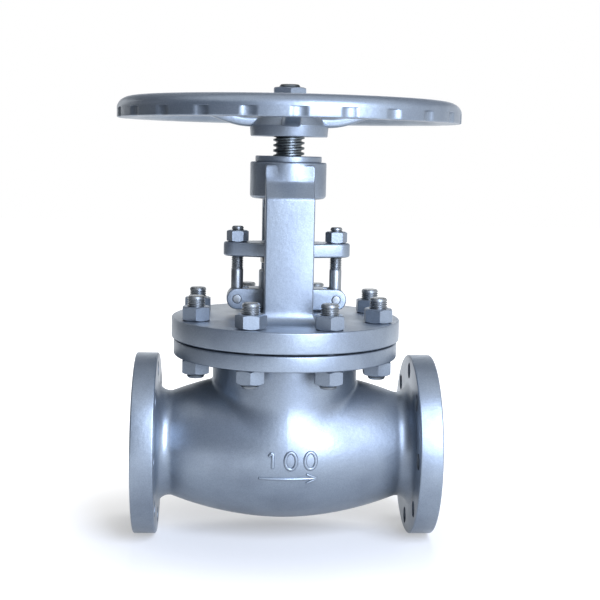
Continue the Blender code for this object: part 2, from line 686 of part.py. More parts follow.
def make_bonnet_joint():
    """Gasket, bush, and the studs with a nut at each end."""
    gasket_r = neck_bore_r + GASKET_INSET
    plain_ring("bonnet_gasket", gasket_r + GASKET_WIDTH, gasket_r, GASKET_T, valve,
               graphite("bonnet_gasket"), (0, 0, JOINT_HEIGHT + SEAT_GAP), FINE_STEPS)
    turned("backseat_bush", [
        (bush_r, stuffing_foot), (bush_r, bush_foot), (stem_hole_r + BUSH_CONE, bush_foot),
        (stem_hole_r, bush_foot + BUSH_CONE), (stem_hole_r, stuffing_foot),
    ], valve, stainless("backseat_bush"))

    top_seat = bonnet_top + SEAT_GAP
    bottom_seat = body_flange_under - SEAT_GAP
    stud_foot = bottom_seat - NUT_H - STUD_FOOT_END
    stud_length = top_seat + NUT_H + STUD_TOP_END - stud_foot
    stud_mesh = None
    nut_mesh = None
    for index, (x, y) in enumerate(stud_places(), start=1):
        name = f"bonnet_stud_{index}"
        if stud_mesh is None:
            stud = cylinders(name, stud_r, 0.0, stud_length, [(0, 0)], collection=valve)
            stud_mesh = stud.data
            stud_mesh.materials.append(silver_paint("bonnet_stud"))
        else:
            stud = add_object(name, stud_mesh, valve)
        stud.location = (x, y, stud_foot)
        for end, seat in (("top", top_seat), ("bottom", bottom_seat - NUT_H)):
            turn = FLAT_ON_TURN if end == "top" and index in FLAT_ON_NUTS else 0.0
            nut = hex_nut(f"bonnet_nut_{end}_{index}", NUT_FLATS, NUT_H, around(stud_r, BOLT_STEPS),
                          silver_paint("bonnet_nut"), (x, y, seat), nut_mesh, turn)
            nut_mesh = nut.data


def make_packing():
    plain_ring("packing_washer", packing_r, stem_hole_r, PACKING_WASHER_T, valve, stainless("packing_washer"),
               (0, 0, washer_foot))
    for index in range(PACKING_COUNT):
        height = packing_foot + index * (PACKING_RING_H + SEAT_GAP)
        name = f"packing_ring_{index + 1}"
        plain_ring(name, packing_r, stem_hole_r, PACKING_RING_H, valve, graphite(name), (0, 0, height))
    head_r = packing_r + GLAND_HEAD_STEP
    turned("gland_follower", [
        (head_r, follower_top), (head_r, follower_head), (packing_r, follower_head),
        (packing_r, follower_foot), (stem_hole_r, follower_foot), (stem_hole_r, follower_top),
    ], valve, stainless("gland_follower"))


def make_gland():
    """Gland flange, and the two swing bolts that pull it down, each on its pin."""
    waist_r = stem_hole_r + GLAND_FLANGE_RIM
    lean = math.degrees(math.asin((waist_r - GLAND_FLANGE_EDGE) / eyebolt_x))
    right = arc((eyebolt_x, 0.0), GLAND_FLANGE_EDGE, lean - 90, 90 - lean, END_STEPS)
    left = [(-x, -y) for x, y in right]
    front = arc((0.0, 0.0), waist_r, 90 - lean, 90 + lean)
    back = [(-x, -y) for x, y in front]
    flange = outlined("gland_flange", right + front + left + back, GLAND_FLANGE_T / 2, valve,
                      silver_paint("gland_flange"), location=(0, 0, gland_foot + GLAND_FLANGE_T / 2))
    bolt_places = [(-eyebolt_x, 0.0), (eyebolt_x, 0.0)]
    foot = gland_foot - CUT_PAST
    top = gland_top + CUT_PAST
    combine(flange, "DIFFERENCE", cylinders("gland_stem_hole", stem_hole_r, foot, top, [(0, 0)], ROUND_STEPS))
    combine(flange, "DIFFERENCE", cylinders("gland_bolt_holes", eyebolt_hole_r, foot, top, bolt_places))

    for word, side in (("left", -1), ("right", 1)):
        place = (side * eyebolt_x, 0.0, pin_height)
        shank = cylinders(f"eyebolt_{word}", eyebolt_r, 0.0, eyebolt_top - pin_height, [(0, 0)],
                          collection=valve)
        shank.location = place
        shank.data.materials.append(stainless(f"eyebolt_{word}"))
        eye = pin_cylinder(f"eye_form_{word}", side, EYE_R, EYE_T / 2)
        combine(shank, "UNION", eye)
        combine(shank, "DIFFERENCE", pin_cylinder(f"eye_hole_{word}", side, pin_hole_r, EYE_T / 2 + CUT_PAST))
        pin = pin_cylinder(f"eyebolt_pin_{word}", side, pin_r, lug_half, valve)
        pin.data.materials.append(stainless(f"eyebolt_pin_{word}"))
        hex_nut(f"gland_nut_{word}", GLAND_NUT_FLATS, GLAND_NUT_H, eyebolt_hole_r,
                silver_paint(f"gland_nut_{word}"), (side * eyebolt_x, 0.0, gland_top + SEAT_GAP),
                turn=FLAT_ON_TURN)


def make_yoke_nut():
    flange_r = yoke_nut_r + YOKE_NUT_FLANGE_STEP
    seat = boss_top + SEAT_GAP
    turned("yoke_nut", [
        (flange_r, yoke_nut_top), (flange_r, seat), (yoke_nut_r, seat), (yoke_nut_r, boss_foot),
        (stem_hole_r, boss_foot), (stem_hole_r, yoke_nut_top),
    ], valve, bronze("yoke_nut"))


def make_handwheel():
    """Dished wheel: a rim with a rounded crown and finger notches, four curved spokes and a hub."""
    rim_r = WHEEL_D / 2
    inner_r = rim_r - RIM_WIDTH
    crest_r = rim_r - RIM_ROUND
    crown = oval_arc((crest_r, RIM_FACE_H), RIM_ROUND, RIM_H - RIM_FACE_H, 90, 0)
    bore_side = oval_arc((crest_r, RIM_H / 2), crest_r - inner_r, RIM_H / 2, 270, 90, BORE_SIDE_STEPS)[:-1]
    rim = crown + [(rim_r, RIM_CHAMFER), (rim_r - RIM_CHAMFER, 0.0)] + bore_side
    wheel = turned("handwheel", rim, valve, silver_paint("handwheel"), (0, 0, hub_foot + WHEEL_DISH),
                   steps=2 * NOTCH_COUNT)
    notches = cylinders("finger_notches", NOTCH_R, hub_foot + WHEEL_DISH - CUT_PAST,
                        hub_foot + WHEEL_DISH + RIM_FACE_H,
                        circle_points(rim_r + NOTCH_R - NOTCH_DEPTH, NOTCH_COUNT))
    combine(wheel, "DIFFERENCE", notches)

    hub = turned("hub_form", [
        (0.0, hub_top), (HUB_NECK_D / 2 - RIM_CHAMFER, hub_top), (HUB_NECK_D / 2, hub_top - RIM_CHAMFER),
        (HUB_NECK_D / 2, hub_foot + HUB_BASE_H + HUB_CONE_H), (HUB_D / 2, hub_foot + HUB_BASE_H),
        (HUB_D / 2, hub_foot), (0.0, hub_foot),
    ], cutters, ring=False)
    for index in range(SPOKE_COUNT):
        combine(hub, "UNION", make_spoke(index, inner_r))
    combine(wheel, "UNION", hub)
    half = STEM_SQUARE / 2 + SLIP_GAP
    combine(wheel, "DIFFERENCE", box("wheel_square", (-half, -half, hub_foot - CUT_PAST),
                                     (half, half, hub_top + CUT_PAST)))
    return wheel


def make_spoke(index, inner_r):
    """One spoke: it leaves the hub level, sweeps up in an S and runs level into the rim."""
    low = hub_foot + HUB_BASE_H + SPOKE_LIFT + SPOKE_DEPTH / 2
    start = HUB_NECK_D / 2 - SPOKE_EMBED
    end = inner_r + SPOKE_EMBED
    shares = [i / SPOKE_STEPS for i in range(SPOKE_STEPS + 1)]
    bend = [(HUB_D / 2 + SPOKE_BEND * t, 0.0, low + SPOKE_RISE * (1 - math.cos(math.pi * t)) / 2)
            for t in shares]
    path = [(start, 0.0, low)] + bend + [(end, 0.0, low + SPOKE_RISE)]
    across = SPOKE_WIDTH / 2
    up = SPOKE_DEPTH / 2
    corner = [(across, up - SPOKE_ROUND), (across - SPOKE_ROUND, up)]
    half = corner + [(-x, y) for x, y in reversed(corner)]
    section = half + [(-x, -y) for x, y in half]
    spoke = swept(f"spoke_form_{index + 1}", path, section, cutters)
    spoke.rotation_euler.z = 2 * math.pi * index / SPOKE_COUNT
    return spoke


def make_wheel_fixing():
    hole_r = around(wheel_stud_r, ROUND_STEPS)
    washer = plain_ring("handwheel_washer", WHEEL_WASHER_D / 2, hole_r, WHEEL_WASHER_T, valve,
                        silver_paint("handwheel_washer"), (0, 0, hub_top + SEAT_GAP))
    nut = hex_nut("handwheel_nut", WHEEL_NUT_FLATS, WHEEL_NUT_H, hole_r,
                  silver_paint("handwheel_nut"), (0, 0, wheel_nut_foot), steps=ROUND_STEPS)
    return [washer, nut]


def parent_to_axis(name, pieces):
    """An empty on the stem axis that carries the pieces moving together."""
    axis = bpy.data.objects.new(name, None)
    valve.objects.link(axis)
    for piece in pieces:
        piece.parent = axis


for old in list(bpy.data.objects):
    bpy.data.objects.remove(old)
valve = new_collection("globe_valve")
cutters = new_collection("cutters")

make_body()
make_bonnet()
make_bonnet_joint()
make_packing()
make_gland()
make_yoke_nut()
disc_pieces = make_seat_and_disc()
stem_pieces = [make_stem(), make_handwheel(), *make_wheel_fixing()]
parent_to_axis("disc_axis", disc_pieces)
parent_to_axis("stem_axis", stem_pieces)
for part in valve.objects:
    if part.type == "MESH" and part.modifiers:
        bake(part)
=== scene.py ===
"""Fine surfaces, finishes and studio of a flanged cast-steel globe valve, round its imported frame.

Metres, +Z up the stem, +X along the flow, -Y towards the camera. Each operator makes one piece or
one group of like pieces, and every piece rides on the body of the node that it stands for.
"""

import math

import bmesh
import bpy
import numpy as np
from mathutils import Matrix, Vector


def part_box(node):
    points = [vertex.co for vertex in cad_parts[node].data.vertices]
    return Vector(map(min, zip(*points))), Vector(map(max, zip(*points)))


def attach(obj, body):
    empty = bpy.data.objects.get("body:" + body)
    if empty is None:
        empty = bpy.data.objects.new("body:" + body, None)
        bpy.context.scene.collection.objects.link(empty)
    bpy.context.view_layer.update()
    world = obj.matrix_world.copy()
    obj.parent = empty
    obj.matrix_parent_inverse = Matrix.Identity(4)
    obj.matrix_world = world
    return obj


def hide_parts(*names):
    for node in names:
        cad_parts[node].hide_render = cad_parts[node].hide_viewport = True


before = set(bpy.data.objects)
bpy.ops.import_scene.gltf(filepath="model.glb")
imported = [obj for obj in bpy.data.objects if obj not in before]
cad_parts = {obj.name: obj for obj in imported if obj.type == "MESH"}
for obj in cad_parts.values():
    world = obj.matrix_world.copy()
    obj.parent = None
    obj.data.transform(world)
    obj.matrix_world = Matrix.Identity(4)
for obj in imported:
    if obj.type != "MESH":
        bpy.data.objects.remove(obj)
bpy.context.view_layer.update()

bl_info = {
    "name": "Globe valve looks",
    "version": (1, 0, 0),
    "blender": (4, 5, 0),
    "location": "3D View > Sidebar > Valve",
    "description": "Fine surfaces, finishes and studio of a flanged globe valve",
    "category": "Object",
}

MM = 0.001
FULL_TURN = 2 * math.pi
MERGE = 0.00002             # points nearer than this are one
SEAT_GAP = 0.0003           # what the frame leaves between faces that bear on each other
PAST = 5 * MM               # how far a cutter stands out of what it cuts
LIFT = 30 * MM              # travel of the disc between shut and open
STUD_COUNT = 8
END_HOLE_COUNT = 8
PACKING_COUNT = 4
NOTCH_COUNT = 24
SPOKE_COUNT = 4
SIDES = (("left", -1), ("right", 1))

# Angles in degrees
CREASE = 32.0               # edges that bend more than this stay crisp
NUT_CREASE = 20.0           # the same for nuts
NUT_CHAMFER = 30.0          # slope of the cones that cut a nut's corners

# Sampling of the surfaces
PIPE_STEPS = 216            # round the pipe axis
CORE_STEPS = 200            # along the belly, from one pipe end to the other
ROUND_STEPS = 128           # round the stem axis
BOLT_STEPS = 48             # round a bolt or a nut, a multiple of 6
BEAD_STEPS = 14             # round a raised stroke
CORNER_STEPS = 5            # round each corner of a swept section
NOTCH_STEPS = 24            # round the rim, for each finger notch
THREAD_ROWS = 20            # along each pitch of a screw thread


def low(node):
    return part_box(node)[0]


def high(node):
    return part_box(node)[1]


def middle(node):
    return (low(node) + high(node)) / 2


# Places and sizes that the frame gives
FACE_X = high("body").x
END_R = -low("body").z
BODY_FLANGE_R = high("body").y
BODY_FLANGE_TOP = high("body").z
BODY_FLANGE_UNDER = high("bonnet_nut_bottom_1").z + SEAT_GAP
BONNET_R = high("bonnet").y
BONNET_TOP = low("bonnet_nut_top_1").z - SEAT_GAP
SPIGOT_FOOT = low("bonnet").z
BOSS_TOP = high("bonnet").z
BOSS_FOOT = low("yoke_nut").z
PIN_HEIGHT = middle("eyebolt_pin_left").z
PIN_R = high("eyebolt_pin_left").z - PIN_HEIGHT
GLAND_BOLT_X = middle("gland_nut_right").x
GLAND_FOOT = low("gland_flange").z
GLAND_TOP = high("gland_flange").z
FOLLOWER_FOOT = low("gland_follower").z
FOLLOWER_TOP = high("gland_follower").z
PACKING_R = high("packing_ring_1").x
STUFFING_FOOT = low("packing_washer").z - SEAT_GAP
BUSH_FOOT = low("backseat_bush").z
HUB_FOOT = low("handwheel").z
HUB_TOP = low("handwheel_washer").z - SEAT_GAP
RIM_TOP = high("handwheel").z
RIM_R = high("handwheel").x
STEM_FOOT = low("stem").z
STEM_TOP = high("stem").z
FLOOR_Z = low("body").z


def linear(hex_colour):
    """An sRGB hex value as linear red, green, blue and a full alpha."""
    srgb = np.array([int(hex_colour[i:i + 2], 16) for i in (1, 3, 5)]) / 255
    rgb = np.where(srgb <= 0.04045, srgb / 12.92, ((srgb + 0.055) / 1.055) ** 2.4)
    return (*rgb.tolist(), 1.0)


def length(name, description, millimetres):
    return bpy.props.FloatProperty(name=name, description=description, default=millimetres * MM,
                                   unit="LENGTH", precision=4)


def colour(name, description, hex_colour):
    return bpy.props.FloatVectorProperty(name=name, description=description, subtype="COLOR", size=4,
                                         min=0.0, max=1.0, default=linear(hex_colour))


def share(name, description, value):
    return bpy.props.FloatProperty(name=name, description=description, default=value, min=0.0, max=1.0,
                                   subtype="FACTOR")


class ValveSizes(bpy.types.PropertyGroup):
    """Sizes of the castings and turned pieces that the frame's boxes don't give"""

    bore_r: length("Bore radius", "Radius of the passage at the end flanges", 50)
    throat_r: length("Throat radius", "Radius of the opening in the seat", 46)
    belly_r: length("Belly radius", "Outside radius of the body at its middle", 85.5)
    belly_oval: share("Belly oval", "How much wider than high the body is at its middle", 0.11)
    belly_wall: length("Belly wall", "Thickness of the body at its middle", 10)
    end_neck_r: length("Pipe neck radius", "Outside radius of the body's narrowest ring", 61)
    end_neck_x: length("Pipe neck place", "Distance of the narrowest ring from the stem axis", 133)
    end_fillet: length("End fillet", "Radius between pipe neck and end flange", 14)
    end_rim: length("End flange rim", "Thickness of the end flanges without the raised face", 26)
    raised_face_r: length("Raised face radius", "Radius of the raised face", 75.5)
    end_bolt_circle_r: length("Bolt circle radius", "Radius of the end flanges' bolt circle", 87.5)
    end_hole_r: length("Bolt hole radius", "Radius of the end flanges' bolt holes", 9.5)
    bonnet_neck_r: length("Bonnet neck radius", "Radius of the upright neck on the belly", 84)
    neck_fillet: length("Neck fillet", "Radius under the body's round flange", 7)
    neck_bore_r: length("Neck bore radius", "Radius of the opening under the bonnet", 69.9)
    edge_round: length("Edge rounding", "Radius on the machined rims", 1.8)
    stud_r: length("Stud radius", "Radius of the bonnet studs", 10)
    stud_pitch: length("Stud pitch", "Pitch of the stud threads", 2.5)
    stud_thread: length("Stud thread", "Length of the thread at each end of a stud", 26)
    stem_r: length("Stem radius", "Radius of the stem", 18)
    stem_pitch: length("Stem pitch", "Pitch of the stem thread", 6)
    stem_thread_depth: length("Stem thread depth", "Depth of the stem thread", 3.4)
    thread_foot: length("Thread foot", "Height at which the stem thread starts", 246)
    stem_tip_r: length("Stem tip radius", "Radius of the stem above the handwheel", 12)
    gland_bolt_r: length("Gland bolt radius", "Radius of the gland bolts", 7)
    eye_r: length("Eye radius", "Outside radius of the gland bolts' eyes and of their lugs", 12)
    stuffing_r: length("Stuffing box radius", "Outside radius of the stuffing box", 32)
    dome_r: length("Dome radius", "Radius of the raised part of the bonnet", 53.5)
    dome_h: length("Dome height", "Height of the raised part of the bonnet", 7)
    arm_inner: length("Arm inside", "Distance of the yoke arms from the stem axis", 45.5)
    arm_t: length("Arm thickness", "Thickness of a yoke arm", 16)
    arm_width: length("Arm width", "Width of a yoke arm", 55)
    arm_round: length("Arm rounding", "Radius along the edges of the yoke arms", 2.2)
    arm_root: length("Arm root", "Radius of the fillet at the foot of the arms", 14)
    window_corner: length("Window corner", "Radius inside the top of the yoke window", 14)
    slope_h: length("Shoulder slope", "Height over which the arms slope in to the boss", 20)
    shoulder_round: length("Shoulder rounding", "Radius of the arms' shoulders", 6)
    pad_round: length("Pad rounding", "Radius where the slope of an arm runs up into the boss", 16)
    boss_r: length("Boss radius", "Radius of the boss on top of the yoke", 43.7)
    boss_bore_r: length("Boss bore radius", "Radius of the bore for the yoke nut", 31.2)
    rim_width: length("Rim width", "Width of the handwheel's rim", 28)
    rim_crown: length("Rim crown", "Width of the rounded outer crown", 18)
    rim_face: length("Rim face", "Height of the upright face of the rim", 11)
    rim_h: length("Rim height", "Height of the handwheel's rim", 24)
    notch_depth: length("Notch depth", "Depth of the finger notches", 2.5)
    notch_half: length("Notch half width", "Half the width of a finger notch", 8.5)
    hub_r: length("Hub radius", "Radius of the handwheel's hub at its foot", 45)
    hub_base: length("Hub base", "Height of the hub's wide base", 12.5)
    hub_neck_r: length("Hub neck radius", "Radius of the hub at its top", 30)
    spoke_width: length("Spoke width", "Width of a spoke", 22)
    spoke_depth: length("Spoke depth", "Depth of a spoke", 11)
    spoke_rise: length("Spoke rise", "Height that a spoke climbs from hub to rim", 17)
    spoke_bend: length("Spoke bend", "Length over which a spoke climbs", 74)


class ValveFinish(bpy.types.PropertyGroup):
    """Colours and gloss of the finishes"""

    paint: colour("Paint", "Sprayed aluminium paint", "#8b95a0")
    paint_dark: colour("Thin paint", "Paint where the spray lies thin", "#7b848f")
    paint_rough: share("Paint roughness", "Roughness of the paint", 0.40)
    paint_metal: share("Paint flake", "How much of the paint shines as metal", 0.8)
    stem_steel: colour("Stem steel", "Oiled alloy steel of the stem", "#6d7478")
    zinc: colour("Zinc", "Zinc plating of studs and gland bolts", "#94999d")
    stainless: colour("Stainless", "Turned stainless steel", "#a8a8a6")
    graphite: colour("Graphite", "Pressed graphite", "#26272a")


def grid(points, wrap=(False, False)):
    """Quads between the neighbours in a grid of points. A wrapped side joins its last row to its first."""
    rows, columns = points.shape[:2]
    r, c = np.meshgrid(np.arange(rows - (not wrap[0])), np.arange(columns - (not wrap[1])), indexing="ij")
    below = (r + 1) % rows
    beside = (c + 1) % columns
    faces = np.stack([r * columns + c, below * columns + c, below * columns + beside,
                      r * columns + beside], axis=-1)
    return points.reshape(-1, 3), faces.reshape(-1, 4)


def moved(patch, matrix):
    """The patch with a 4 x 4 matrix applied to its points."""
    points, faces = patch
    turn = np.array(matrix)
    return points @ turn[:3, :3].T + turn[:3, 3], faces


def shifted(patches, x, y):
    """The patches carried sideways by (x, y)."""
    return [moved(patch, Matrix.Translation((x, y, 0))) for patch in patches]


def unit(vectors):
    """The vectors at length 1."""
    return vectors / np.linalg.norm(vectors, axis=-1, keepdims=True)


def around(steps):
    """Angles round a full turn, as a column."""
    return np.linspace(0, FULL_TURN, steps, endpoint=False)[:, None]


def spun(r, a, z):
    """Points (r cos a, r sin a, z)."""
    return np.stack(np.broadcast_arrays(r * np.cos(a), r * np.sin(a), z), axis=-1)


def line(start, end, steps):
    return np.linspace(start, end, steps + 1)


def arc(centre, radius, start, end, steps):
    """Points centre + radius (cos a, sin a), with a in degrees from start to end."""
    a = np.radians(np.linspace(start, end, steps + 1))
    return np.stack([centre[0] + radius * np.cos(a), centre[1] + radius * np.sin(a)], axis=-1)


def rounded(corners, steps=6, closed=False):
    """A chain of straight runs through corners (a, b, radius), each with an arc tangent to both runs."""
    points = np.array([corner[:2] for corner in corners], float)
    count = len(corners)
    chain = []
    for i, (_, _, radius) in enumerate(corners):
        here = points[i]
        if radius == 0 or not closed and i in (0, count - 1):
            chain.append(here[None])
            continue
        before = unit(points[i - 1] - here)
        after = unit(points[(i + 1) % count] - here)
        half = math.acos(np.clip(before @ after, -1, 1)) / 2
        centre = here + unit(before + after) * radius / math.sin(half)
        start = here + before * radius / math.tan(half) - centre
        end = here + after * radius / math.tan(half) - centre
        sweep = math.pi - 2 * half
        t = np.linspace(0, 1, steps + 1)[:, None]
        chain.append(centre + (start * np.sin((1 - t) * sweep) + end * np.sin(t * sweep)) / math.sin(sweep))
    return np.concatenate(chain)


def turned(profile, steps=ROUND_STEPS, ring=False, along_x=False):
    """A profile (radius r, height h) carried round Z as (r cos a, r sin a, h), or round X in the same way."""
    r, h = np.asarray(profile, float).T
    points = spun(r, around(steps), h)
    return grid(points[..., [2, 0, 1]] if along_x else points, (True, ring))


def ring_of(corners, steps=ROUND_STEPS):
    """A closed profile through corners (radius, height, rounding), carried round Z."""
    return turned(rounded(corners, closed=True), steps, ring=True)


def rod(radius, foot, top, steps=BOLT_STEPS):
    """A plain closed cylinder round Z, for a cutter."""
    return turned([(0, foot), (radius, foot), (radius, top), (0, top)], steps)


def screw(radius, depth, pitch, foot, top, steps, fade, crest=0.34, flank=0.3):
    """A right-hand thread: r = radius - depth * groove(s), with s the place between two crests,
    s = |2 frac(z / pitch - a / turn) - 1|, and groove rising from 0 to 1 over the flank past the crest.
    The groove runs out over the fade length at the foot and over a millimetre at the top."""
    rows = max(2, int(round((top - foot) / pitch * THREAD_ROWS)))
    z = np.linspace(foot, top, rows + 1)[None, :]
    a = around(steps)
    s = np.abs(2 * np.mod(z / pitch - a / FULL_TURN, 1.0) - 1)
    run_out = np.clip(np.minimum((z - foot) / fade, (top - z) / MM), 0, 1)
    r = radius - depth * np.clip((s - crest) / flank, 0, 1) * run_out
    return grid(spun(r, a, z), (True, False))


def plate(outline, foot, top, edge, hole_r=0.0, steps=4):
    """A flat piece: an outline (x, y) seen from its middle, carried up from foot to top with edges of
    radius edge, drawn in along its normals there. Its faces run in to the middle or to a round hole."""
    after = np.roll(outline, -1, axis=0) - np.roll(outline, 1, axis=0)
    normal = unit(np.stack([after[:, 1], -after[:, 0]], axis=-1))
    centre = outline.mean(axis=0)
    a = np.radians(np.linspace(-90, 0, steps + 1))
    inset = edge * (1 - np.cos(a))
    inset = np.concatenate([inset, inset[::-1]])
    height = np.concatenate([foot + edge + edge * np.sin(a), top - edge - edge * np.sin(a[::-1])])
    side = outline[:, None, :] - normal[:, None, :] * inset[None, :, None]
    inside = (centre + unit(outline - centre) * hole_r)[:, None, :]
    flat = np.concatenate([inside, side, inside], axis=1)
    levels = np.concatenate([[foot], height, [top]])
    points = np.concatenate([flat, np.broadcast_to(levels[None, :, None], (*flat.shape[:2], 1))], axis=-1)
    return grid(points, (True, hole_r > 0))


def swept(centre, across, up, half_width, half_depth, edge):
    """A rounded rectangle carried along a path: centre + across * p + up * q, with (p, q) on the
    rectangle. Widths and directions may change along the path. Both ends are closed by their middle."""
    quarter = np.radians(np.linspace(0, 90, CORNER_STEPS + 1))
    a = np.concatenate([quarter + k * math.pi / 2 for k in range(4)])
    sign_p = np.repeat([1, -1, -1, 1], CORNER_STEPS + 1)
    sign_q = np.repeat([1, 1, -1, -1], CORNER_STEPS + 1)
    half_width = np.broadcast_to(half_width, len(centre))[:, None]
    half_depth = np.broadcast_to(half_depth, len(centre))[:, None]
    p = sign_p * (half_width - edge) + edge * np.cos(a)
    q = sign_q * (half_depth - edge) + edge * np.sin(a)
    points = centre[:, None, :] + across[:, None, :] * p[..., None] + up[:, None, :] * q[..., None]
    ends = [np.broadcast_to(centre[k], (1, len(a), 3)) for k in (0, -1)]
    return grid(np.concatenate([ends[0], points, ends[1]]), (False, True))


def strip(upper, lower, half_width):
    """A wall between two chains of (x, z) points with as many points each, as far in y as half_width
    to either side."""
    def at(chain, y):
        return np.stack([chain[:, 0], np.full(len(chain), y), chain[:, 1]], axis=-1)
    loop = np.stack([at(upper, -half_width), at(upper, half_width), at(lower, half_width),
                     at(lower, -half_width)], axis=1)
    ends = [np.broadcast_to(loop[k].mean(axis=0), (1, 4, 3)) for k in (0, -1)]
    return grid(np.concatenate([ends[0], loop, ends[1]]), (False, True))


def mesh_of(name, shape):
    """One mesh of all the patches in a shape, with its doubles merged and its faces turned outwards.
    A shape that is a mesh already stays as it is."""
    if isinstance(shape, bpy.types.Mesh):
        return shape
    starts = np.cumsum([0] + [len(points) for points, _ in shape])
    points = np.concatenate([points for points, _ in shape])
    faces = np.concatenate([faces + start for (_, faces), start in zip(shape, starts)])
    mesh = bpy.data.meshes.new(name)
    mesh.vertices.add(len(points))
    mesh.vertices.foreach_set("co", points.astype(np.float32).ravel())
    mesh.loops.add(faces.size)
    mesh.loops.foreach_set("vertex_index", faces.astype(np.int32).ravel())
    mesh.polygons.add(len(faces))
    mesh.polygons.foreach_set("loop_start", np.arange(0, faces.size, 4, dtype=np.int32))
    mesh.update(calc_edges=True)
    bm = bmesh.new()
    bm.from_mesh(mesh)
    bmesh.ops.remove_doubles(bm, verts=bm.verts, dist=MERGE)
    bmesh.ops.recalc_face_normals(bm, faces=bm.faces)
    bm.to_mesh(mesh)
    bm.free()
    return mesh


def placed(name, data):
    """A new object in the scene."""
    made = bpy.data.objects.new(name, data)
    bpy.context.scene.collection.objects.link(made)
    return made


def carve(name, base, *steps):
    """Joins shapes to a base shape, or cuts them out of it, in order, and gives the resulting mesh."""
    holder = placed(name, mesh_of(name, base))
    tools = []
    for operation, shape in steps:
        tools.append(placed(f"{name}_tool", mesh_of(f"{name}_tool", shape)))
        modifier = holder.modifiers.new(operation.title(), "BOOLEAN")
        modifier.operation = operation
        modifier.object = tools[-1]
    made = bpy.data.meshes.new_from_object(holder.evaluated_get(bpy.context.evaluated_depsgraph_get()))
    made.name = name
    for spent in [holder, *tools]:
        bpy.data.objects.remove(spent)
    if not made.polygons:
        raise RuntimeError(f"{name} came out empty")
    return made


def add_piece(name, shape, finish, node=None, body="valve_body", crease=CREASE):
    """A shown piece: smooth, with crisp edges past the crease angle, riding on a body for its node."""
    mesh = mesh_of(name, shape)
    mesh.shade_smooth()
    mesh.set_sharp_from_angle(angle=math.radians(crease))
    mesh.materials.clear()
    mesh.materials.append(finish)
    piece = placed(name, mesh)
    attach(piece, body)
    if node:
        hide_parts(node)


# Body casting


def smooth_max(a, b, width):
    """The larger of a and b, rounded where they differ by less than width."""
    return np.maximum(a, b) + np.maximum(width - np.abs(a - b), 0) ** 2 / (4 * width)


def belly_arc(sizes):
    """Radius A and depth C of the belly's side, r(x) = sqrt(A^2 - x^2) - C, which touches the end
    fillet's circle."""
    top = sizes.end_neck_r + sizes.end_fillet
    reach = sizes.end_neck_x ** 2
    drop = sizes.belly_r + sizes.end_fillet
    depth = (reach + top ** 2 - drop ** 2) / (2 * (drop - top))
    return sizes.belly_r + depth, depth


def seam_point(sizes):
    """Where the belly's arc runs into the end fillet: (radius, x)."""
    big, depth = belly_arc(sizes)
    centre = np.array([sizes.end_neck_r + sizes.end_fillet + depth, sizes.end_neck_x])
    on_arc = centre * big / (big + sizes.end_fillet)
    return on_arc[0] - depth, on_arc[1]


def seam_angle(sizes):
    """Angle at the middle between the pipe axis and the seam."""
    return math.atan2(*seam_point(sizes))


def widening(sizes, t):
    """Width over height of the belly at an angle t from the pipe axis: 1 at the seams with the pipe ends,
    rising as half a cosine to 1 + oval in the middle."""
    first = seam_angle(sizes)
    share_of_way = (np.minimum(t, math.pi - t) - first) / (math.pi / 2 - first)
    return 1 + sizes.belly_oval * (1 - np.cos(math.pi * share_of_way)) / 2


def belly_core(sizes):
    """Belly and bonnet neck as distances rho from the middle along rays (dx, dy, dz). With the belly's
    width k drawn in, w = hypot(dy / k, dz), its arc solves (w rho + C)^2 + (dx rho)^2 = A^2. The neck is
    R / hypot(dx, dy) up to its top, and the larger of the two counts, rounded where they meet. Below the
    pipe axis the neck draws in, so that only the belly counts there."""
    big, depth = belly_arc(sizes)
    first = seam_angle(sizes)
    t = np.linspace(first, math.pi - first, CORE_STEPS + 1)[None, :]
    v = around(PIPE_STEPS)
    dx, dy, dz = np.broadcast_arrays(np.cos(t), np.sin(t) * np.cos(v), np.sin(t) * np.sin(v))
    w = np.hypot(dy / widening(sizes, t), dz)
    square = w ** 2 + dx ** 2
    belly = (np.sqrt((depth * w) ** 2 + square * (big ** 2 - depth ** 2)) - depth * w) / square
    tiny = 1e-6
    level = np.maximum(np.hypot(dx, dy), tiny)
    neck_top = BODY_FLANGE_UNDER + 5 * MM
    draw_in = 0.7
    upper = np.minimum(sizes.bonnet_neck_r / level, neck_top / np.maximum(dz, tiny))
    lower = sizes.bonnet_neck_r * (1 - draw_in * np.abs(dz))
    front_blend, end_blend = 14 * MM, 4.5 * MM
    blend = front_blend + (end_blend - front_blend) * np.abs(dx) / level
    rho = smooth_max(belly, np.where(dz > 0, upper, lower), blend)
    return grid(np.stack([dx, dy, dz], axis=-1) * rho[..., None], (True, False))


def pipe_end(sizes, side):
    """Fillet, flange rim and raised face of one end, turned about the pipe axis."""
    seam = seam_point(sizes)
    centre = (sizes.end_neck_r + sizes.end_fillet, sizes.end_neck_x)
    start = math.degrees(math.atan2(seam[1] - centre[1], seam[0] - centre[0]))
    fillet = arc(centre, sizes.end_fillet, start % 360, 90, 14)
    back = sizes.end_neck_x + sizes.end_fillet
    rim = back + sizes.end_rim
    edge = sizes.edge_round
    raised = sizes.raised_face_r
    rest = rounded([
        (centre[0], back, 0), (END_R, back, edge), (END_R, rim, edge), (raised, rim, 0.8 * MM),
        (raised, FACE_X, 0.5 * MM), (0, FACE_X, 0),
    ])
    profile = np.concatenate([fillet[:-1], rest])
    return turned(profile * (1, side), PIPE_STEPS, along_x=True)


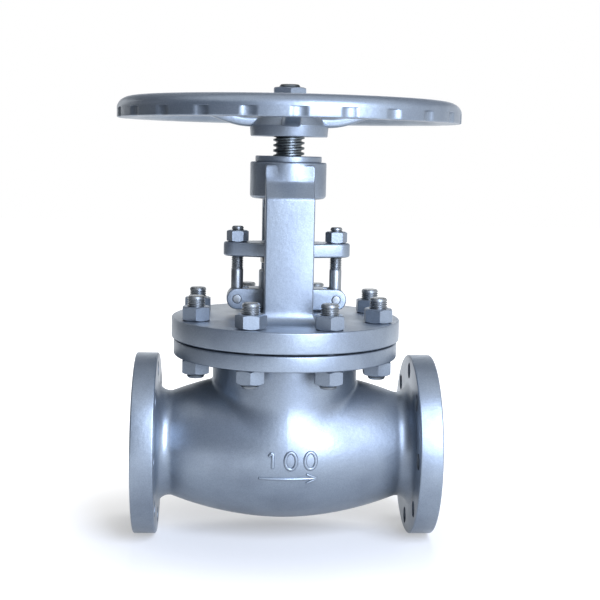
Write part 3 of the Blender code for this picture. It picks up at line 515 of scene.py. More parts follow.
def round_flange(sizes):
    """The body's round top flange with the fillet under it, sunk a little into the neck."""
    sunk = 0.2 * MM
    middle_r = sizes.bonnet_neck_r - sunk + sizes.neck_fillet
    foot = BODY_FLANGE_UNDER - sizes.neck_fillet
    fillet = arc((middle_r, foot), sizes.neck_fillet, 180, 90, 8)
    inside = sizes.neck_bore_r - 4 * MM
    rest = rounded([
        (middle_r, BODY_FLANGE_UNDER, 0), (BODY_FLANGE_R, BODY_FLANGE_UNDER, sizes.edge_round),
        (BODY_FLANGE_R, BODY_FLANGE_TOP, sizes.edge_round), (inside, BODY_FLANGE_TOP, 0), (inside, foot, 0),
    ])
    return turned(np.concatenate([fillet[:-1], rest]), PIPE_STEPS, ring=True)


def passages(sizes):
    """The passages as a cutter: a belly-shaped barrel and the bonnet bore, less the S-shaped bridge."""
    inner_r = sizes.belly_r - sizes.belly_wall
    half = sizes.end_neck_x
    rise = inner_r - sizes.bore_r
    big = (half ** 2 + rise ** 2) / (2 * rise)
    spread = math.degrees(math.asin(half / big))
    barrel = arc((inner_r - big, 0), big, spread, -spread, 48)
    ends = [(0, FACE_X + PAST), (sizes.bore_r, FACE_X + PAST)]
    profile = np.concatenate([ends, barrel, [(r, -x) for r, x in reversed(ends)]])
    bore = rod(sizes.neck_bore_r, 0, BODY_FLANGE_TOP + PAST, ROUND_STEPS)
    seat, lean, wall, top = 68.3 * MM, 24 * MM, 11 * MM, 11.5 * MM
    inner_bend, outer_bend = 8 * MM, 19 * MM
    reach = sizes.belly_r
    upper = rounded([(-seat - lean, reach, 0), (-seat, top, inner_bend), (seat + wall, top, outer_bend),
                     (seat + lean + wall, -reach, 0)], 10)
    lower = rounded([(-seat - lean - wall, reach, 0), (-seat - wall, top - wall, outer_bend),
                     (seat, top - wall, inner_bend), (seat + lean, -reach, 0)], 10)
    return carve("passages", [turned(profile, ROUND_STEPS, along_x=True)],
                 ("UNION", [bore]), ("DIFFERENCE", [strip(upper, lower, reach)]))


def stud_places():
    return [middle(f"bonnet_stud_{k}").xy for k in range(1, STUD_COUNT + 1)]


def stud_holes(sizes, foot, top):
    """A cutter a millimetre wider than a stud, at each stud."""
    hole = rod(sizes.stud_r + MM, foot, top)
    return [patch for x, y in stud_places() for patch in shifted([hole], x, y)]


def body_holes(sizes):
    """Cutters for the seat pocket, the end flanges' bolt holes and the stud holes."""
    ring_r = high("seat_ring").x + SEAT_GAP
    shelf = low("seat_ring").z - SEAT_GAP
    top, foot = 20 * MM, -5 * MM
    pocket = turned([(0, top), (ring_r, top), (ring_r, shelf), (sizes.throat_r, shelf),
                     (sizes.throat_r, foot), (0, foot)])
    holes = [pocket]
    hole = rod(sizes.end_hole_r, sizes.end_neck_x + sizes.end_fillet - 2 * MM, FACE_X + PAST)
    for side in (-1, 1):
        for k in range(END_HOLE_COUNT):
            a = FULL_TURN * k / END_HOLE_COUNT
            place = Matrix.Translation((0, sizes.end_bolt_circle_r * math.cos(a),
                                        sizes.end_bolt_circle_r * math.sin(a)))
            holes.append(moved(hole, place @ Matrix.Rotation(side * math.pi / 2, 4, "Y")))
    return holes + stud_holes(sizes, BODY_FLANGE_UNDER - 4 * MM, BODY_FLANGE_TOP + 4 * MM)


def on_belly(sizes, along, round_by, height):
    """A point of the belly's front: x along the pipe, an angle round_by / R below or above the
    level of the pipe axis, and a height out of the surface."""
    big, depth = belly_arc(sizes)
    lean = np.sqrt(big ** 2 - along ** 2)
    radius = lean - depth
    wide = radius * widening(sizes, np.arctan2(radius, along)) + height
    a = round_by / sizes.belly_r
    return np.stack([along + height * along / lean, -wide * np.cos(a), (radius + height) * np.sin(a)],
                    axis=-1)


def bead(sizes, path, width, closed=False):
    """A raised stroke on the belly: an oval carried along a path of (x, arc length) points, half sunk
    in the surface. An open stroke's ends are round, with the oval shrinking as a circle does."""
    rise = 1.9 * MM
    if closed:
        run = unit(np.roll(path, -1, axis=0) - np.roll(path, 1, axis=0))
        size = np.ones(len(path))
    else:
        run = unit(np.gradient(path, axis=0))
        travelled = np.concatenate([[0], np.cumsum(np.linalg.norm(np.diff(path, axis=0), axis=1))])
        from_end = np.minimum(travelled, travelled[-1] - travelled)
        size = np.sqrt(1 - (1 - np.clip(from_end / (width / 2), 0, 1)) ** 2)
    normal = np.stack([-run[:, 1], run[:, 0]], axis=-1)
    a = around(BEAD_STEPS).T
    aside = size[:, None] * width / 2 * np.cos(a)
    height = size[:, None] * rise * np.sin(a)
    along = path[:, :1] + normal[:, :1] * aside
    round_by = path[:, 1:] + normal[:, 1:] * aside
    return grid(on_belly(sizes, along, round_by, height), (closed, True))


class VALVE_OT_body(bpy.types.Operator):
    """Make the body casting: belly, bonnet neck, end flanges and the S-shaped bridge inside"""

    bl_idname = "valve.body"
    bl_label = "Body casting"

    def execute(self, context):
        sizes = context.scene.valve_sizes
        mesh = carve("body_casting", [belly_core(sizes), pipe_end(sizes, 1), pipe_end(sizes, -1)],
                     ("UNION", [round_flange(sizes)]), ("DIFFERENCE", passages(sizes)),
                     ("DIFFERENCE", body_holes(sizes)))
        add_piece("body_casting", mesh, sprayed_paint(), "body")
        return {"FINISHED"}


class VALVE_OT_marks(bpy.types.Operator):
    """Make the raised marks on the belly: the bore in millimetres and the flow arrow"""

    bl_idname = "valve.marks"
    bl_label = "Raised marks"

    def execute(self, context):
        sizes = context.scene.valve_sizes
        digit_width, arrow_width = 4.2 * MM, 3.4 * MM
        level, half_tall, half_wide = 2 * MM, 9.5 * MM, 6.2 * MM
        strokes = []
        for x in (4 * MM, 26 * MM):
            a = around(40)
            nought = np.concatenate([x + half_wide * np.cos(a), level + half_tall * np.sin(a)], axis=1)
            strokes.append(bead(sizes, nought, digit_width, closed=True))
        one_x, flag = -16 * MM, 5 * MM
        foot, top = level - half_tall, level + half_tall
        strokes.append(bead(sizes, line((one_x, foot), (one_x, top), 24), digit_width))
        strokes.append(bead(sizes, line((one_x, top), (one_x - flag, top - flag), 8), digit_width))
        tail, tip = np.array([-32, -19]) * MM, np.array([34, -19]) * MM
        strokes.append(bead(sizes, line(tail, tip, 48), arrow_width))
        for way in (-1, 1):
            barb = tip + np.array([-13, way * 6]) * MM
            strokes.append(bead(sizes, line(barb, tip, 14), arrow_width))
        add_piece("raised_marks", strokes, sprayed_paint())
        return {"FINISHED"}


# Bonnet casting


def bonnet_turning(sizes):
    """Flange, dome and stuffing box of the bonnet, one closed profile round the stem axis."""
    top = FOLLOWER_FOOT + 10 * MM
    dome_top = BONNET_TOP + sizes.dome_h
    face = SPIGOT_FOOT + 6 * MM
    spigot_r = sizes.neck_bore_r - 0.9 * MM
    bush_r = high("backseat_bush").x + SEAT_GAP
    box_r = PACKING_R + SEAT_GAP
    edge = sizes.edge_round
    return ring_of([
        (sizes.stuffing_r, top, 1.2 * MM), (sizes.stuffing_r, dome_top, 6 * MM),
        (sizes.dome_r, dome_top, 5 * MM), (sizes.dome_r, BONNET_TOP, 1.6 * MM),
        (BONNET_R, BONNET_TOP, edge), (BONNET_R, face, edge), (spigot_r, face, 0.5 * MM),
        (spigot_r, SPIGOT_FOOT, MM), (spigot_r - 15 * MM, SPIGOT_FOOT, 2 * MM),
        (bush_r + 6 * MM, BUSH_FOOT, MM), (bush_r, BUSH_FOOT, 0), (bush_r, STUFFING_FOOT, 0),
        (box_r, STUFFING_FOOT, 0), (box_r, top, 1.2 * MM),
    ], PIPE_STEPS)


def root_flare(height, radius):
    """How far a fillet of that radius stands out at a height above the face that it runs into."""
    t = 1 - np.clip(height / radius, 0, 1)
    return radius * (1 - np.sqrt(1 - t ** 2))


def yoke_arch(sizes):
    """Both yoke arms and the bridge between them, one rounded section carried along the arch. Each
    place has an inner and an outer point in YZ: up the arm, round the window's corner while the outside
    bends in at its shoulder and up again as a pad on the boss, and across to the middle of the boss."""
    inner, outer = sizes.arm_inner, sizes.arm_inner + sizes.arm_t
    corner = sizes.window_corner
    sunk = 2 * MM
    foot = BONNET_TOP - sunk
    spring = BOSS_FOOT - corner
    shoulder = BOSS_FOOT + 2 * MM
    pad, pad_top = sizes.boss_r - 2.4 * MM, BOSS_TOP - 2.5 * MM
    most_inwards, most_sideways = 2.5 * MM, 6 * MM
    z = np.concatenate([foot + np.linspace(0, 1, 17) ** 2 * sizes.arm_root,
                        np.linspace(BONNET_TOP + sizes.arm_root, spring, 30)])
    bend = rounded([
        (outer, spring, 0), (outer, shoulder, sizes.shoulder_round),
        (pad, shoulder + sizes.slope_h, sizes.pad_round), (pad, pad_top, 3 * MM), (0, pad_top, 0),
    ], 9)[1:]
    turn = arc((inner - corner, spring), corner, 0, 90, len(bend) - 1)[1:]
    inside = np.concatenate([np.stack([np.full_like(z, inner), z], axis=-1), turn, [[0, BOSS_FOOT]]])
    outside = np.concatenate([np.stack([np.full_like(z, outer), z], axis=-1), bend])
    flare = root_flare(inside[:, 1] - foot - sunk, sizes.arm_root)
    inside[:, 0] -= np.minimum(flare, most_inwards)
    outside[:, 0] += flare
    flip = np.array([-1, 1])
    inside = np.concatenate([inside, (inside * flip)[-2::-1]])
    outside = np.concatenate([outside, (outside * flip)[-2::-1]])
    half_width = sizes.arm_width / 2 + np.minimum(np.concatenate([flare, flare[-2::-1]]), most_sideways)
    between = outside - inside
    zero = np.zeros(len(inside))
    centre = np.stack([zero, *((inside + outside) / 2).T], axis=-1)
    up = np.stack([zero, *unit(between).T], axis=-1)
    across = np.broadcast_to([1.0, 0.0, 0.0], up.shape)
    return swept(centre, across, up, half_width, np.linalg.norm(between, axis=1) / 2, sizes.arm_round)


def lug(sizes, side):
    """Two ears and the web behind them, for one gland bolt's pin, as upright plates in XZ."""
    inside = sizes.stuffing_r - 6 * MM
    web = GLAND_BOLT_X - 13.5 * MM
    bottom, top = PIN_HEIGHT - sizes.eye_r, PIN_HEIGHT + sizes.eye_r
    back = line((inside, bottom), (inside, top), 5)[:-1]
    ear = np.concatenate([
        line((inside, top), (GLAND_BOLT_X, top), 7)[:-1],
        arc((GLAND_BOLT_X, PIN_HEIGHT), sizes.eye_r, 90, -90, 20)[:-1],
        line((GLAND_BOLT_X, bottom), (inside, bottom), 7)[:-1], back,
    ])[::-1]
    block = np.concatenate([
        line((inside, top), (web, top), 4)[:-1], line((web, top), (web, bottom), 5)[:-1],
        line((web, bottom), (inside, bottom), 4)[:-1], back,
    ])[::-1]
    slot_half, ear_t, ear_edge = 8.3 * MM, 8 * MM, 1.5 * MM
    upright = Matrix.Rotation(math.pi / 2, 4, "X")
    if side < 0:
        upright = Matrix.Rotation(math.pi, 4, "Z") @ upright
    parts = [plate(ear, slot_half, slot_half + ear_t, ear_edge),
             plate(ear, -slot_half - ear_t, -slot_half, ear_edge),
             plate(block, -slot_half - ear_t / 2, slot_half + ear_t / 2, MM)]
    return [moved(part, upright) for part in parts]


def on_pin(patch, side):
    """The patch with Z turned along Y and moved to the axis that a gland bolt swings about."""
    place = Matrix.Translation((side * GLAND_BOLT_X, 0, PIN_HEIGHT))
    return moved(patch, place @ Matrix.Rotation(math.pi / 2, 4, "X"))


class VALVE_OT_bonnet(bpy.types.Operator):
    """Make the bonnet casting: flange, stuffing box, gland lugs, yoke arms and boss"""

    bl_idname = "valve.bonnet"
    bl_label = "Bonnet casting"

    def execute(self, context):
        sizes = context.scene.valve_sizes
        boss = turned(rounded([
            (0, BOSS_TOP, 0), (sizes.boss_r, BOSS_TOP, 2 * MM), (sizes.boss_r, BOSS_FOOT, 4.5 * MM),
            (0, BOSS_FOOT, 0),
        ]))
        added = [yoke_arch(sizes), boss]
        holes = [rod(sizes.boss_bore_r, BOSS_FOOT - 20 * MM, BOSS_TOP + PAST, ROUND_STEPS)]
        holes += stud_holes(sizes, SPIGOT_FOOT, BONNET_TOP + 4 * MM)
        for _, side in SIDES:
            added += lug(sizes, side)
            holes.append(on_pin(rod(PIN_R + SEAT_GAP, -20 * MM, 20 * MM), side))
        mesh = carve("bonnet_casting", [bonnet_turning(sizes)], *(("UNION", [part]) for part in added),
                     ("DIFFERENCE", holes))
        add_piece("bonnet_casting", mesh, sprayed_paint(), "bonnet")
        return {"FINISHED"}


# Studs, nuts and gland


def threaded_end(radius, pitch, foot, top, steps=BOLT_STEPS):
    """The screwed end of a bolt: thread up to a domed tip at the top."""
    depth = 0.55 * pitch
    tip = 2.5 * MM
    body = screw(radius, depth, pitch, foot, top - tip, steps, pitch, crest=0.15, flank=0.7)
    dome = rounded([(radius, top - tip, 0), (radius - depth, top, 0.8 * tip), (0, top, 0)], 5)
    return [body, turned(dome, steps)]


def double_ended(radius, pitch, foot, top, thread):
    """A stud: both ends screwed over the thread length, and a plain shank between."""
    upper = threaded_end(radius, pitch, top - thread, top)
    flip = Matrix.Translation((0, 0, foot + top)) @ Matrix.Rotation(math.pi, 4, "X")
    lower = [moved(part, flip) for part in upper]
    shank = turned([(radius, foot + thread), (radius, top - thread)], BOLT_STEPS)
    return [*upper, *lower, shank]


def nut_of(node, hole_r):
    """A nut in the place of a node, with its corners where the node has them: its side is
    flats / 2 / cos(a from the nearest flat), cut at both ends by cones, so each flat ends in an arc.
    Its inside is a round hole with a small lead-in."""
    span = high(node) - low(node)
    foot, top, centre = low(node).z, high(node).z, middle(node)
    half_flats = min(span.x, span.y) / 2
    corner = 0.0 if span.x > span.y else math.pi / 2
    a = around(BOLT_STEPS)
    side = half_flats / np.cos(np.mod(a, FULL_TURN / 6) - FULL_TURN / 12)
    face = 0.95 * half_flats
    drop = (side - face) * math.tan(math.radians(NUT_CHAMFER))
    lead = 0.8 * MM
    radii = [hole_r, hole_r + lead, face, side, side, face, hole_r + lead, hole_r]
    heights = [foot + lead, foot, foot, foot + drop, top - drop, top, top, top - lead]
    level = np.ones_like(a)
    r, z = (np.concatenate([each * level for each in rows], axis=1) for rows in (radii, heights))
    return shifted([grid(spun(r, a + corner, z), (True, True))], centre.x, centre.y)


class VALVE_OT_studs(bpy.types.Operator):
    """Make the bonnet studs and the nuts at both ends of each"""

    bl_idname = "valve.studs"
    bl_label = "Bonnet studs and nuts"

    def execute(self, context):
        sizes = context.scene.valve_sizes
        for k, (x, y) in enumerate(stud_places(), start=1):
            node = f"bonnet_stud_{k}"
            stud = double_ended(sizes.stud_r, sizes.stud_pitch, low(node).z, high(node).z, sizes.stud_thread)
            add_piece(f"joint_stud_{k}", shifted(stud, x, y), zinc_plating(), node)
            for end in ("top", "bottom"):
                node = f"bonnet_nut_{end}_{k}"
                add_piece(f"joint_nut_{end}_{k}", nut_of(node, sizes.stud_r), sprayed_paint(), node,
                          crease=NUT_CREASE)
        return {"FINISHED"}


def gland_outline():
    """Two round ends on the bolt axes and a round waist, joined by straight sides touching both."""
    end_r = high("gland_flange").x - GLAND_BOLT_X
    waist_r = high("gland_flange").y
    lean = math.degrees(math.asin((waist_r - end_r) / GLAND_BOLT_X))
    right = arc((GLAND_BOLT_X, 0), end_r, lean - 90, 90 - lean, 24)
    front = arc((0, 0), waist_r, 90 - lean, 90 + lean, 12)
    side = line(right[-1], front[0], 7)[1:-1]
    upper = np.concatenate([right, side, front, (side * (-1, 1))[::-1]])
    return np.concatenate([upper, -upper])


def swing_bolt(sizes, side):
    """A gland bolt: an eye on its pin, a plain shank and a screwed end up through the gland flange."""
    r, pitch = sizes.gland_bolt_r, 2 * MM
    shank_foot, thread_foot = PIN_HEIGHT + 9 * MM, GLAND_FOOT - 16 * MM
    shank = turned([(0, shank_foot), (r, shank_foot), (r, thread_foot)], BOLT_STEPS)
    end = threaded_end(r, pitch, thread_foot, high("eyebolt_left").z)
    half, hole_r = 8 * MM, 5.3 * MM
    eye = ring_of([(sizes.eye_r, half, 1.5 * MM), (sizes.eye_r, -half, 1.5 * MM),
                   (hole_r, -half, 0.5 * MM), (hole_r, half, 0.5 * MM)], BOLT_STEPS)
    return [*shifted([shank, *end], side * GLAND_BOLT_X, 0), on_pin(eye, side)]


class VALVE_OT_gland(bpy.types.Operator):
    """Make the gland: follower, flange, swing bolts, pins and nuts"""

    bl_idname = "valve.gland"
    bl_label = "Gland"

    def execute(self, context):
        sizes = context.scene.valve_sizes
        slip_r = sizes.stem_r + SEAT_GAP
        head = FOLLOWER_TOP - 7 * MM
        head_r = high("gland_follower").x
        follower = ring_of([
            (head_r, FOLLOWER_TOP, 0.8 * MM), (head_r, head, 0.8 * MM), (PACKING_R, head, 0),
            (PACKING_R, FOLLOWER_FOOT, 0.6 * MM), (slip_r, FOLLOWER_FOOT, 0),
            (slip_r, FOLLOWER_TOP, 0.6 * MM),
        ])
        add_piece("gland_sleeve", [follower], turned_stainless(), "gland_follower")
        flange = plate(gland_outline(), GLAND_FOOT, GLAND_TOP, edge=2.4 * MM, hole_r=slip_r, steps=6)
        add_piece("gland_plate", [flange], sprayed_paint(), "gland_flange")
        half = high("eyebolt_pin_left").y + 0.8 * MM
        pin = turned(rounded([(0, half, 0), (PIN_R, half, MM), (PIN_R, -half, MM), (0, -half, 0)]),
                     BOLT_STEPS)
        for word, side in SIDES:
            add_piece(f"swing_bolt_{word}", swing_bolt(sizes, side), zinc_plating(), f"eyebolt_{word}")
            add_piece(f"swing_pin_{word}", [on_pin(pin, side)], zinc_plating(), f"eyebolt_pin_{word}")
            node = f"gland_nut_{word}"
            add_piece(f"swing_nut_{word}", nut_of(node, sizes.gland_bolt_r), sprayed_paint(), node,
                      crease=NUT_CREASE)
        return {"FINISHED"}


# Stem, yoke nut and trim


class VALVE_OT_stem(bpy.types.Operator):
    """Make the stem with its screw thread, and the yoke nut"""

    bl_idname = "valve.stem"
    bl_label = "Stem and yoke nut"

    def execute(self, context):
        sizes = context.scene.valve_sizes
        r, tip_r, hub_r = sizes.stem_r, sizes.stem_tip_r, 13 * MM
        tip_pitch = 3 * MM
        backseat = BUSH_FOOT + 4.5 * MM
        shoulder = backseat - LIFT - 2 * SEAT_GAP
        step, land = 6.2 * MM, 10 * MM
        collar_r, collar_top = 22 * MM, STEM_FOOT + 15.5 * MM
        foot_part = turned(rounded([
            (0, STEM_FOOT, 0), (collar_r, STEM_FOOT, MM), (collar_r, collar_top, MM), (r, collar_top, 0),
            (r, shoulder - 2 * step - land, 0), (r + step, shoulder - step - land, 0),
            (r + step, shoulder - step, 0), (r, shoulder, 0), (r, sizes.thread_foot, 0),
        ]))
        hub_seat = HUB_FOOT - SEAT_GAP
        thread = screw(r, sizes.stem_thread_depth, sizes.stem_pitch, sizes.thread_foot, hub_seat,
                       ROUND_STEPS, sizes.stem_pitch)
        above_hub = HUB_TOP - SEAT_GAP
        tip_foot = above_hub + 4 * MM
        hub_part = turned([(r, hub_seat), (hub_r, hub_seat), (hub_r, above_hub), (tip_r, above_hub),
                           (tip_r, tip_foot)])
        tip = threaded_end(tip_r, tip_pitch, tip_foot, STEM_TOP, ROUND_STEPS)
        add_piece("stem_screw", [foot_part, thread, hub_part, *tip], oiled_steel(), "stem", "stem")

        top, flange_r = high("yoke_nut").z, high("yoke_nut").x
        sleeve_r, slip_r = sizes.boss_bore_r - SEAT_GAP, r + SEAT_GAP
        seat = BOSS_TOP + SEAT_GAP
        sleeve = ring_of([
            (flange_r, top, 1.2 * MM), (flange_r, seat, 0.4 * MM), (sleeve_r, seat, 0),
            (sleeve_r, BOSS_FOOT, MM), (slip_r, BOSS_FOOT, MM), (slip_r, top, MM),
        ])
        add_piece("yoke_sleeve", [sleeve], sprayed_paint(), "yoke_nut")
        return {"FINISHED"}


class VALVE_OT_trim(bpy.types.Operator):
    """Make the seat ring and the disc, and finish the pieces hidden inside"""

    bl_idname = "valve.trim"
    bl_label = "Seat, disc and inner pieces"

    def execute(self, context):
        throat = context.scene.valve_sizes.throat_r
        cone = 5 * MM
        ring_r, foot, top = high("seat_ring").x, low("seat_ring").z, high("seat_ring").z
        ring = ring_of([(ring_r, top, 0.5 * MM), (ring_r, foot, 0), (throat, foot, 0.5 * MM),
                        (throat, top - cone, 0), (throat + cone, top, 0)])
        add_piece("seat", [ring], turned_stainless(), "seat_ring")
        foot, top, rim_r = low("disc").z, high("disc").z, high("disc").x
        hub_r, collar_r, pocket_r = 38 * MM, 22.5 * MM, high("disc_nut").x + SEAT_GAP
        under, floor = foot + cone, foot + 11.5 * MM
        plate_top = under + 13 * MM
        step = low("disc_nut").z - SEAT_GAP
        disc = turned(rounded([
            (0, floor, 0), (collar_r, floor, 0), (collar_r, step, 0), (pocket_r, step, 0),
            (pocket_r, top, 0.5 * MM), (hub_r, top, MM), (hub_r, plate_top + 4 * MM, 3 * MM),
            (rim_r, plate_top, MM), (rim_r, under, 0.4 * MM), (throat + cone, under, 0),
            (throat, foot, 0.4 * MM), (0, foot, 0),
        ]))
        add_piece("plug_disc", [disc], turned_stainless(), "disc", "disc")
        packing = [f"packing_ring_{k}" for k in range(1, PACKING_COUNT + 1)]
        hidden = {turned_stainless: ["disc_nut", "backseat_bush", "packing_washer"],
                  pressed_graphite: ["bonnet_gasket", *packing]}
        for finish, nodes in hidden.items():
            for node in nodes:
                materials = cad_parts[node].data.materials
                materials.clear()
                materials.append(finish())
        return {"FINISHED"}


# Handwheel


def wheel_rim(sizes):
    """The rim: a flat foot, an upright face, an oval crown and an oval inner side, carried round the
    axis. Finger notches push the upright face in by depth (1 - (d / half)^2), d from the notch's middle."""
    foot = RIM_TOP - sizes.rim_h
    crest = RIM_R - sizes.rim_crown
    inner = sizes.rim_width - sizes.rim_crown
    tall = sizes.rim_h - sizes.rim_face
    edge = 1.5 * MM
    face = [(RIM_R, h) for h in np.linspace(edge, sizes.rim_face - 0.6 * MM, 5)]
    crown = (crest, sizes.rim_face) + arc((0, 0), 1, 0, 90, 12) * (sizes.rim_crown, tall)
    inside = (crest, sizes.rim_h / 2) + arc((0, 0), 1, 90, 270, 24)[1:] * (inner, sizes.rim_h / 2)
    under = rounded([(crest, 0, 0), (RIM_R, 0, edge), (RIM_R, edge, 0)], 4)[1:-1]
    section = np.concatenate([face, crown, inside, under])
    a = around(NOTCH_COUNT * NOTCH_STEPS)
    off = (np.mod(a * NOTCH_COUNT / FULL_TURN + 0.5, 1.0) - 0.5) * FULL_TURN / NOTCH_COUNT * RIM_R
    push = sizes.notch_depth * np.clip(1 - (off / sizes.notch_half) ** 2, 0, 1)
    held = (section[:, 0] > RIM_R - edge * 1.01) & (section[:, 1] < sizes.rim_face - 0.3 * MM)
    return grid(spun(section[:, 0] - push * held, a, foot + section[:, 1]), (True, True))


def spoke(sizes, turn):
    """A spoke: level at the hub, an S given by half a cosine, and level into the rim, wider at both ends."""
    half_depth = sizes.spoke_depth / 2
    dip, sunk, edge = 1.8 * MM, 8 * MM, 4 * MM
    rim_root, hub_root, most = 9 * MM, 7 * MM, 6 * MM
    base = HUB_FOOT + sizes.hub_base - dip + half_depth
    rim_inside = RIM_R - sizes.rim_width
    x = np.linspace(sizes.hub_neck_r - sunk, rim_inside + sunk, 90)
    t = np.clip((x - sizes.hub_r) / sizes.spoke_bend, 0, 1)
    z = base + sizes.spoke_rise * (1 - np.cos(math.pi * t)) / 2
    zero = np.zeros_like(x)
    centre = np.stack([x, zero, z], axis=-1)
    run = unit(np.gradient(centre, axis=0))
    across = np.broadcast_to([0.0, 1.0, 0.0], run.shape)
    up = np.stack([-run[:, 2], zero, run[:, 0]], axis=-1)
    wider = root_flare(rim_inside - x, rim_root) + root_flare(x - sizes.hub_neck_r - MM, hub_root)
    half_width = sizes.spoke_width / 2 + np.minimum(wider, most)
    return moved(swept(centre, across, up, half_width, half_depth, edge), Matrix.Rotation(turn, 4, "Z"))


class VALVE_OT_handwheel(bpy.types.Operator):
    """Make the handwheel with its notched rim, spokes and hub, and its washer and nut"""

    bl_idname = "valve.handwheel"
    bl_label = "Handwheel"

    def execute(self, context):
        sizes = context.scene.valve_sizes
        shoulder = HUB_FOOT + sizes.hub_base
        hole_r = 13.4 * MM
        hub = ring_of([
            (sizes.hub_r - MM, HUB_FOOT, 1.2 * MM), (sizes.hub_r, shoulder, 2 * MM),
            (sizes.hub_neck_r, shoulder + 16 * MM, 4 * MM), (sizes.hub_neck_r, HUB_TOP, 1.5 * MM),
            (hole_r, HUB_TOP, 0.5 * MM), (hole_r, HUB_FOOT, 0.5 * MM),
        ])
        spokes = [spoke(sizes, FULL_TURN * k / SPOKE_COUNT) for k in range(SPOKE_COUNT)]
        mesh = carve("wheel_casting", [wheel_rim(sizes)], *(("UNION", [part]) for part in (hub, *spokes)))
        add_piece("wheel_casting", mesh, sprayed_paint(), "handwheel", "stem")

        inner, outer = sizes.stem_tip_r, high("handwheel_washer").x
        foot, top = low("handwheel_washer").z, high("handwheel_washer").z
        washer = ring_of([(outer, top, 0.8 * MM), (outer, foot, 0.4 * MM), (inner, foot, 0), (inner, top, 0)])
        add_piece("wheel_washer", [washer], sprayed_paint(), "handwheel_washer", "stem")
        add_piece("wheel_nut", nut_of("handwheel_nut", inner), sprayed_paint(), "handwheel_nut", "stem",
                  crease=NUT_CREASE)
        return {"FINISHED"}


# Finishes


def add_node(tree, kind, inputs=None, **settings):
    """Adds a node, applies its settings, and links or sets its inputs by name or number."""
    node = tree.nodes.new(kind)
    for key, value in settings.items():
        setattr(node, key, value)
    for key, value in (inputs or {}).items():
        socket = node.inputs[key]
        if isinstance(value, bpy.types.NodeSocket):
            tree.links.new(value, socket)
        else:
            socket.default_value = value
    return node


def new_material(name, base, roughness, metallic):
    """A new material, its node tree and its Principled shader."""
    material = bpy.data.materials.new(name)
    material.use_nodes = True
    tree = material.node_tree
    shader = tree.nodes["Principled BSDF"]
    shader.inputs["Base Color"].default_value = base
    shader.inputs["Roughness"].default_value = roughness
    shader.inputs["Metallic"].default_value = metallic
    return material, tree, shader


def per_metre(millimetres):
    """Noise scale whose features are about that many millimetres across."""
    return 1 / (millimetres * MM)


def sprayed_paint():
    """Sprayed aluminium paint over cast steel: a satin coat with fine leafing flakes, the casting's
    sandy skin softened under it, and thinner, duller patches where the spray passed quickly."""
    name = "sprayed_aluminium_paint"
    if name in bpy.data.materials:
        return bpy.data.materials[name]
    look = bpy.context.scene.valve_finish
    material, tree, shader = new_material(name, look.paint, look.paint_rough, look.paint_metal)
    place = add_node(tree, "ShaderNodeTexCoord").outputs["Object"]
    patch = add_node(tree, "ShaderNodeTexNoise", {"Vector": place, "Scale": per_metre(55), "Detail": 3.0})
    spread = add_node(tree, "ShaderNodeMapRange", {
        "Value": patch.outputs["Fac"], "From Min": 0.35, "From Max": 0.7})
    coat = add_node(tree, "ShaderNodeMix", {"Factor": spread.outputs[0], 6: look.paint, 7: look.paint_dark},
                    data_type="RGBA")
    # Real flakes are 0.02 mm; they are drawn at 0.9 mm so that they show
    flake = add_node(tree, "ShaderNodeTexVoronoi", {"Vector": place, "Scale": per_metre(0.9)})
    tint = add_node(tree, "ShaderNodeMapRange", {
        "Value": flake.outputs["Color"], "To Min": 0.90, "To Max": 1.10})
    shade = add_node(tree, "ShaderNodeMix", {"Factor": 1.0, 6: coat.outputs[2], 7: tint.outputs[0]},
                     data_type="RGBA", blend_type="MULTIPLY")
    gloss = add_node(tree, "ShaderNodeMapRange", {
        "Value": patch.outputs["Fac"], "From Min": 0.3, "From Max": 0.7,
        "To Min": look.paint_rough - 0.04, "To Max": look.paint_rough + 0.06})
    skin = add_node(tree, "ShaderNodeTexNoise", {"Vector": place, "Scale": per_metre(5), "Detail": 4.0})
    peel = add_node(tree, "ShaderNodeTexNoise", {"Vector": place, "Scale": per_metre(1.1), "Detail": 2.0})
    cast = add_node(tree, "ShaderNodeBump", {"Height": skin.outputs["Fac"], "Strength": 0.16, "Distance": MM})
    bump = add_node(tree, "ShaderNodeBump", {
        "Height": peel.outputs["Fac"], "Strength": 0.12, "Distance": 0.3 * MM, "Normal": cast.outputs[0]})
    tree.links.new(shade.outputs[2], shader.inputs["Base Color"])
    tree.links.new(gloss.outputs[0], shader.inputs["Roughness"])
    tree.links.new(bump.outputs[0], shader.inputs["Normal"])
    return material


def metal(name, base, roughness, ring_mm, strength):
    """A bare metal: tool rings as a bump in bands along Z, and cloudy stains in its tone and roughness."""
    if name in bpy.data.materials:
        return bpy.data.materials[name]
    material, tree, shader = new_material(name, base, roughness, 1.0)
    place = add_node(tree, "ShaderNodeTexCoord").outputs["Object"]
    rings = add_node(tree, "ShaderNodeTexWave", {
        "Vector": place, "Scale": per_metre(ring_mm) / FULL_TURN, "Distortion": 0.6, "Detail": 2.0,
    }, wave_type="BANDS", bands_direction="Z")
    stain = add_node(tree, "ShaderNodeTexNoise", {"Vector": place, "Scale": per_metre(9), "Detail": 3.0})
    dull = add_node(tree, "ShaderNodeMapRange", {
        "Value": stain.outputs["Fac"], "From Min": 0.3, "From Max": 0.75,
        "To Min": roughness - 0.06, "To Max": roughness + 0.14})
    darker = tuple(0.78 * c for c in base[:3]) + (1.0,)
    tone = add_node(tree, "ShaderNodeMix", {"Factor": stain.outputs["Fac"], 6: base, 7: darker},
                    data_type="RGBA")
    bump = add_node(tree, "ShaderNodeBump", {
        "Height": rings.outputs["Fac"], "Strength": strength, "Distance": 0.1 * MM})
    tree.links.new(tone.outputs[2], shader.inputs["Base Color"])
    tree.links.new(dull.outputs[0], shader.inputs["Roughness"])
    tree.links.new(bump.outputs[0], shader.inputs["Normal"])
    return material


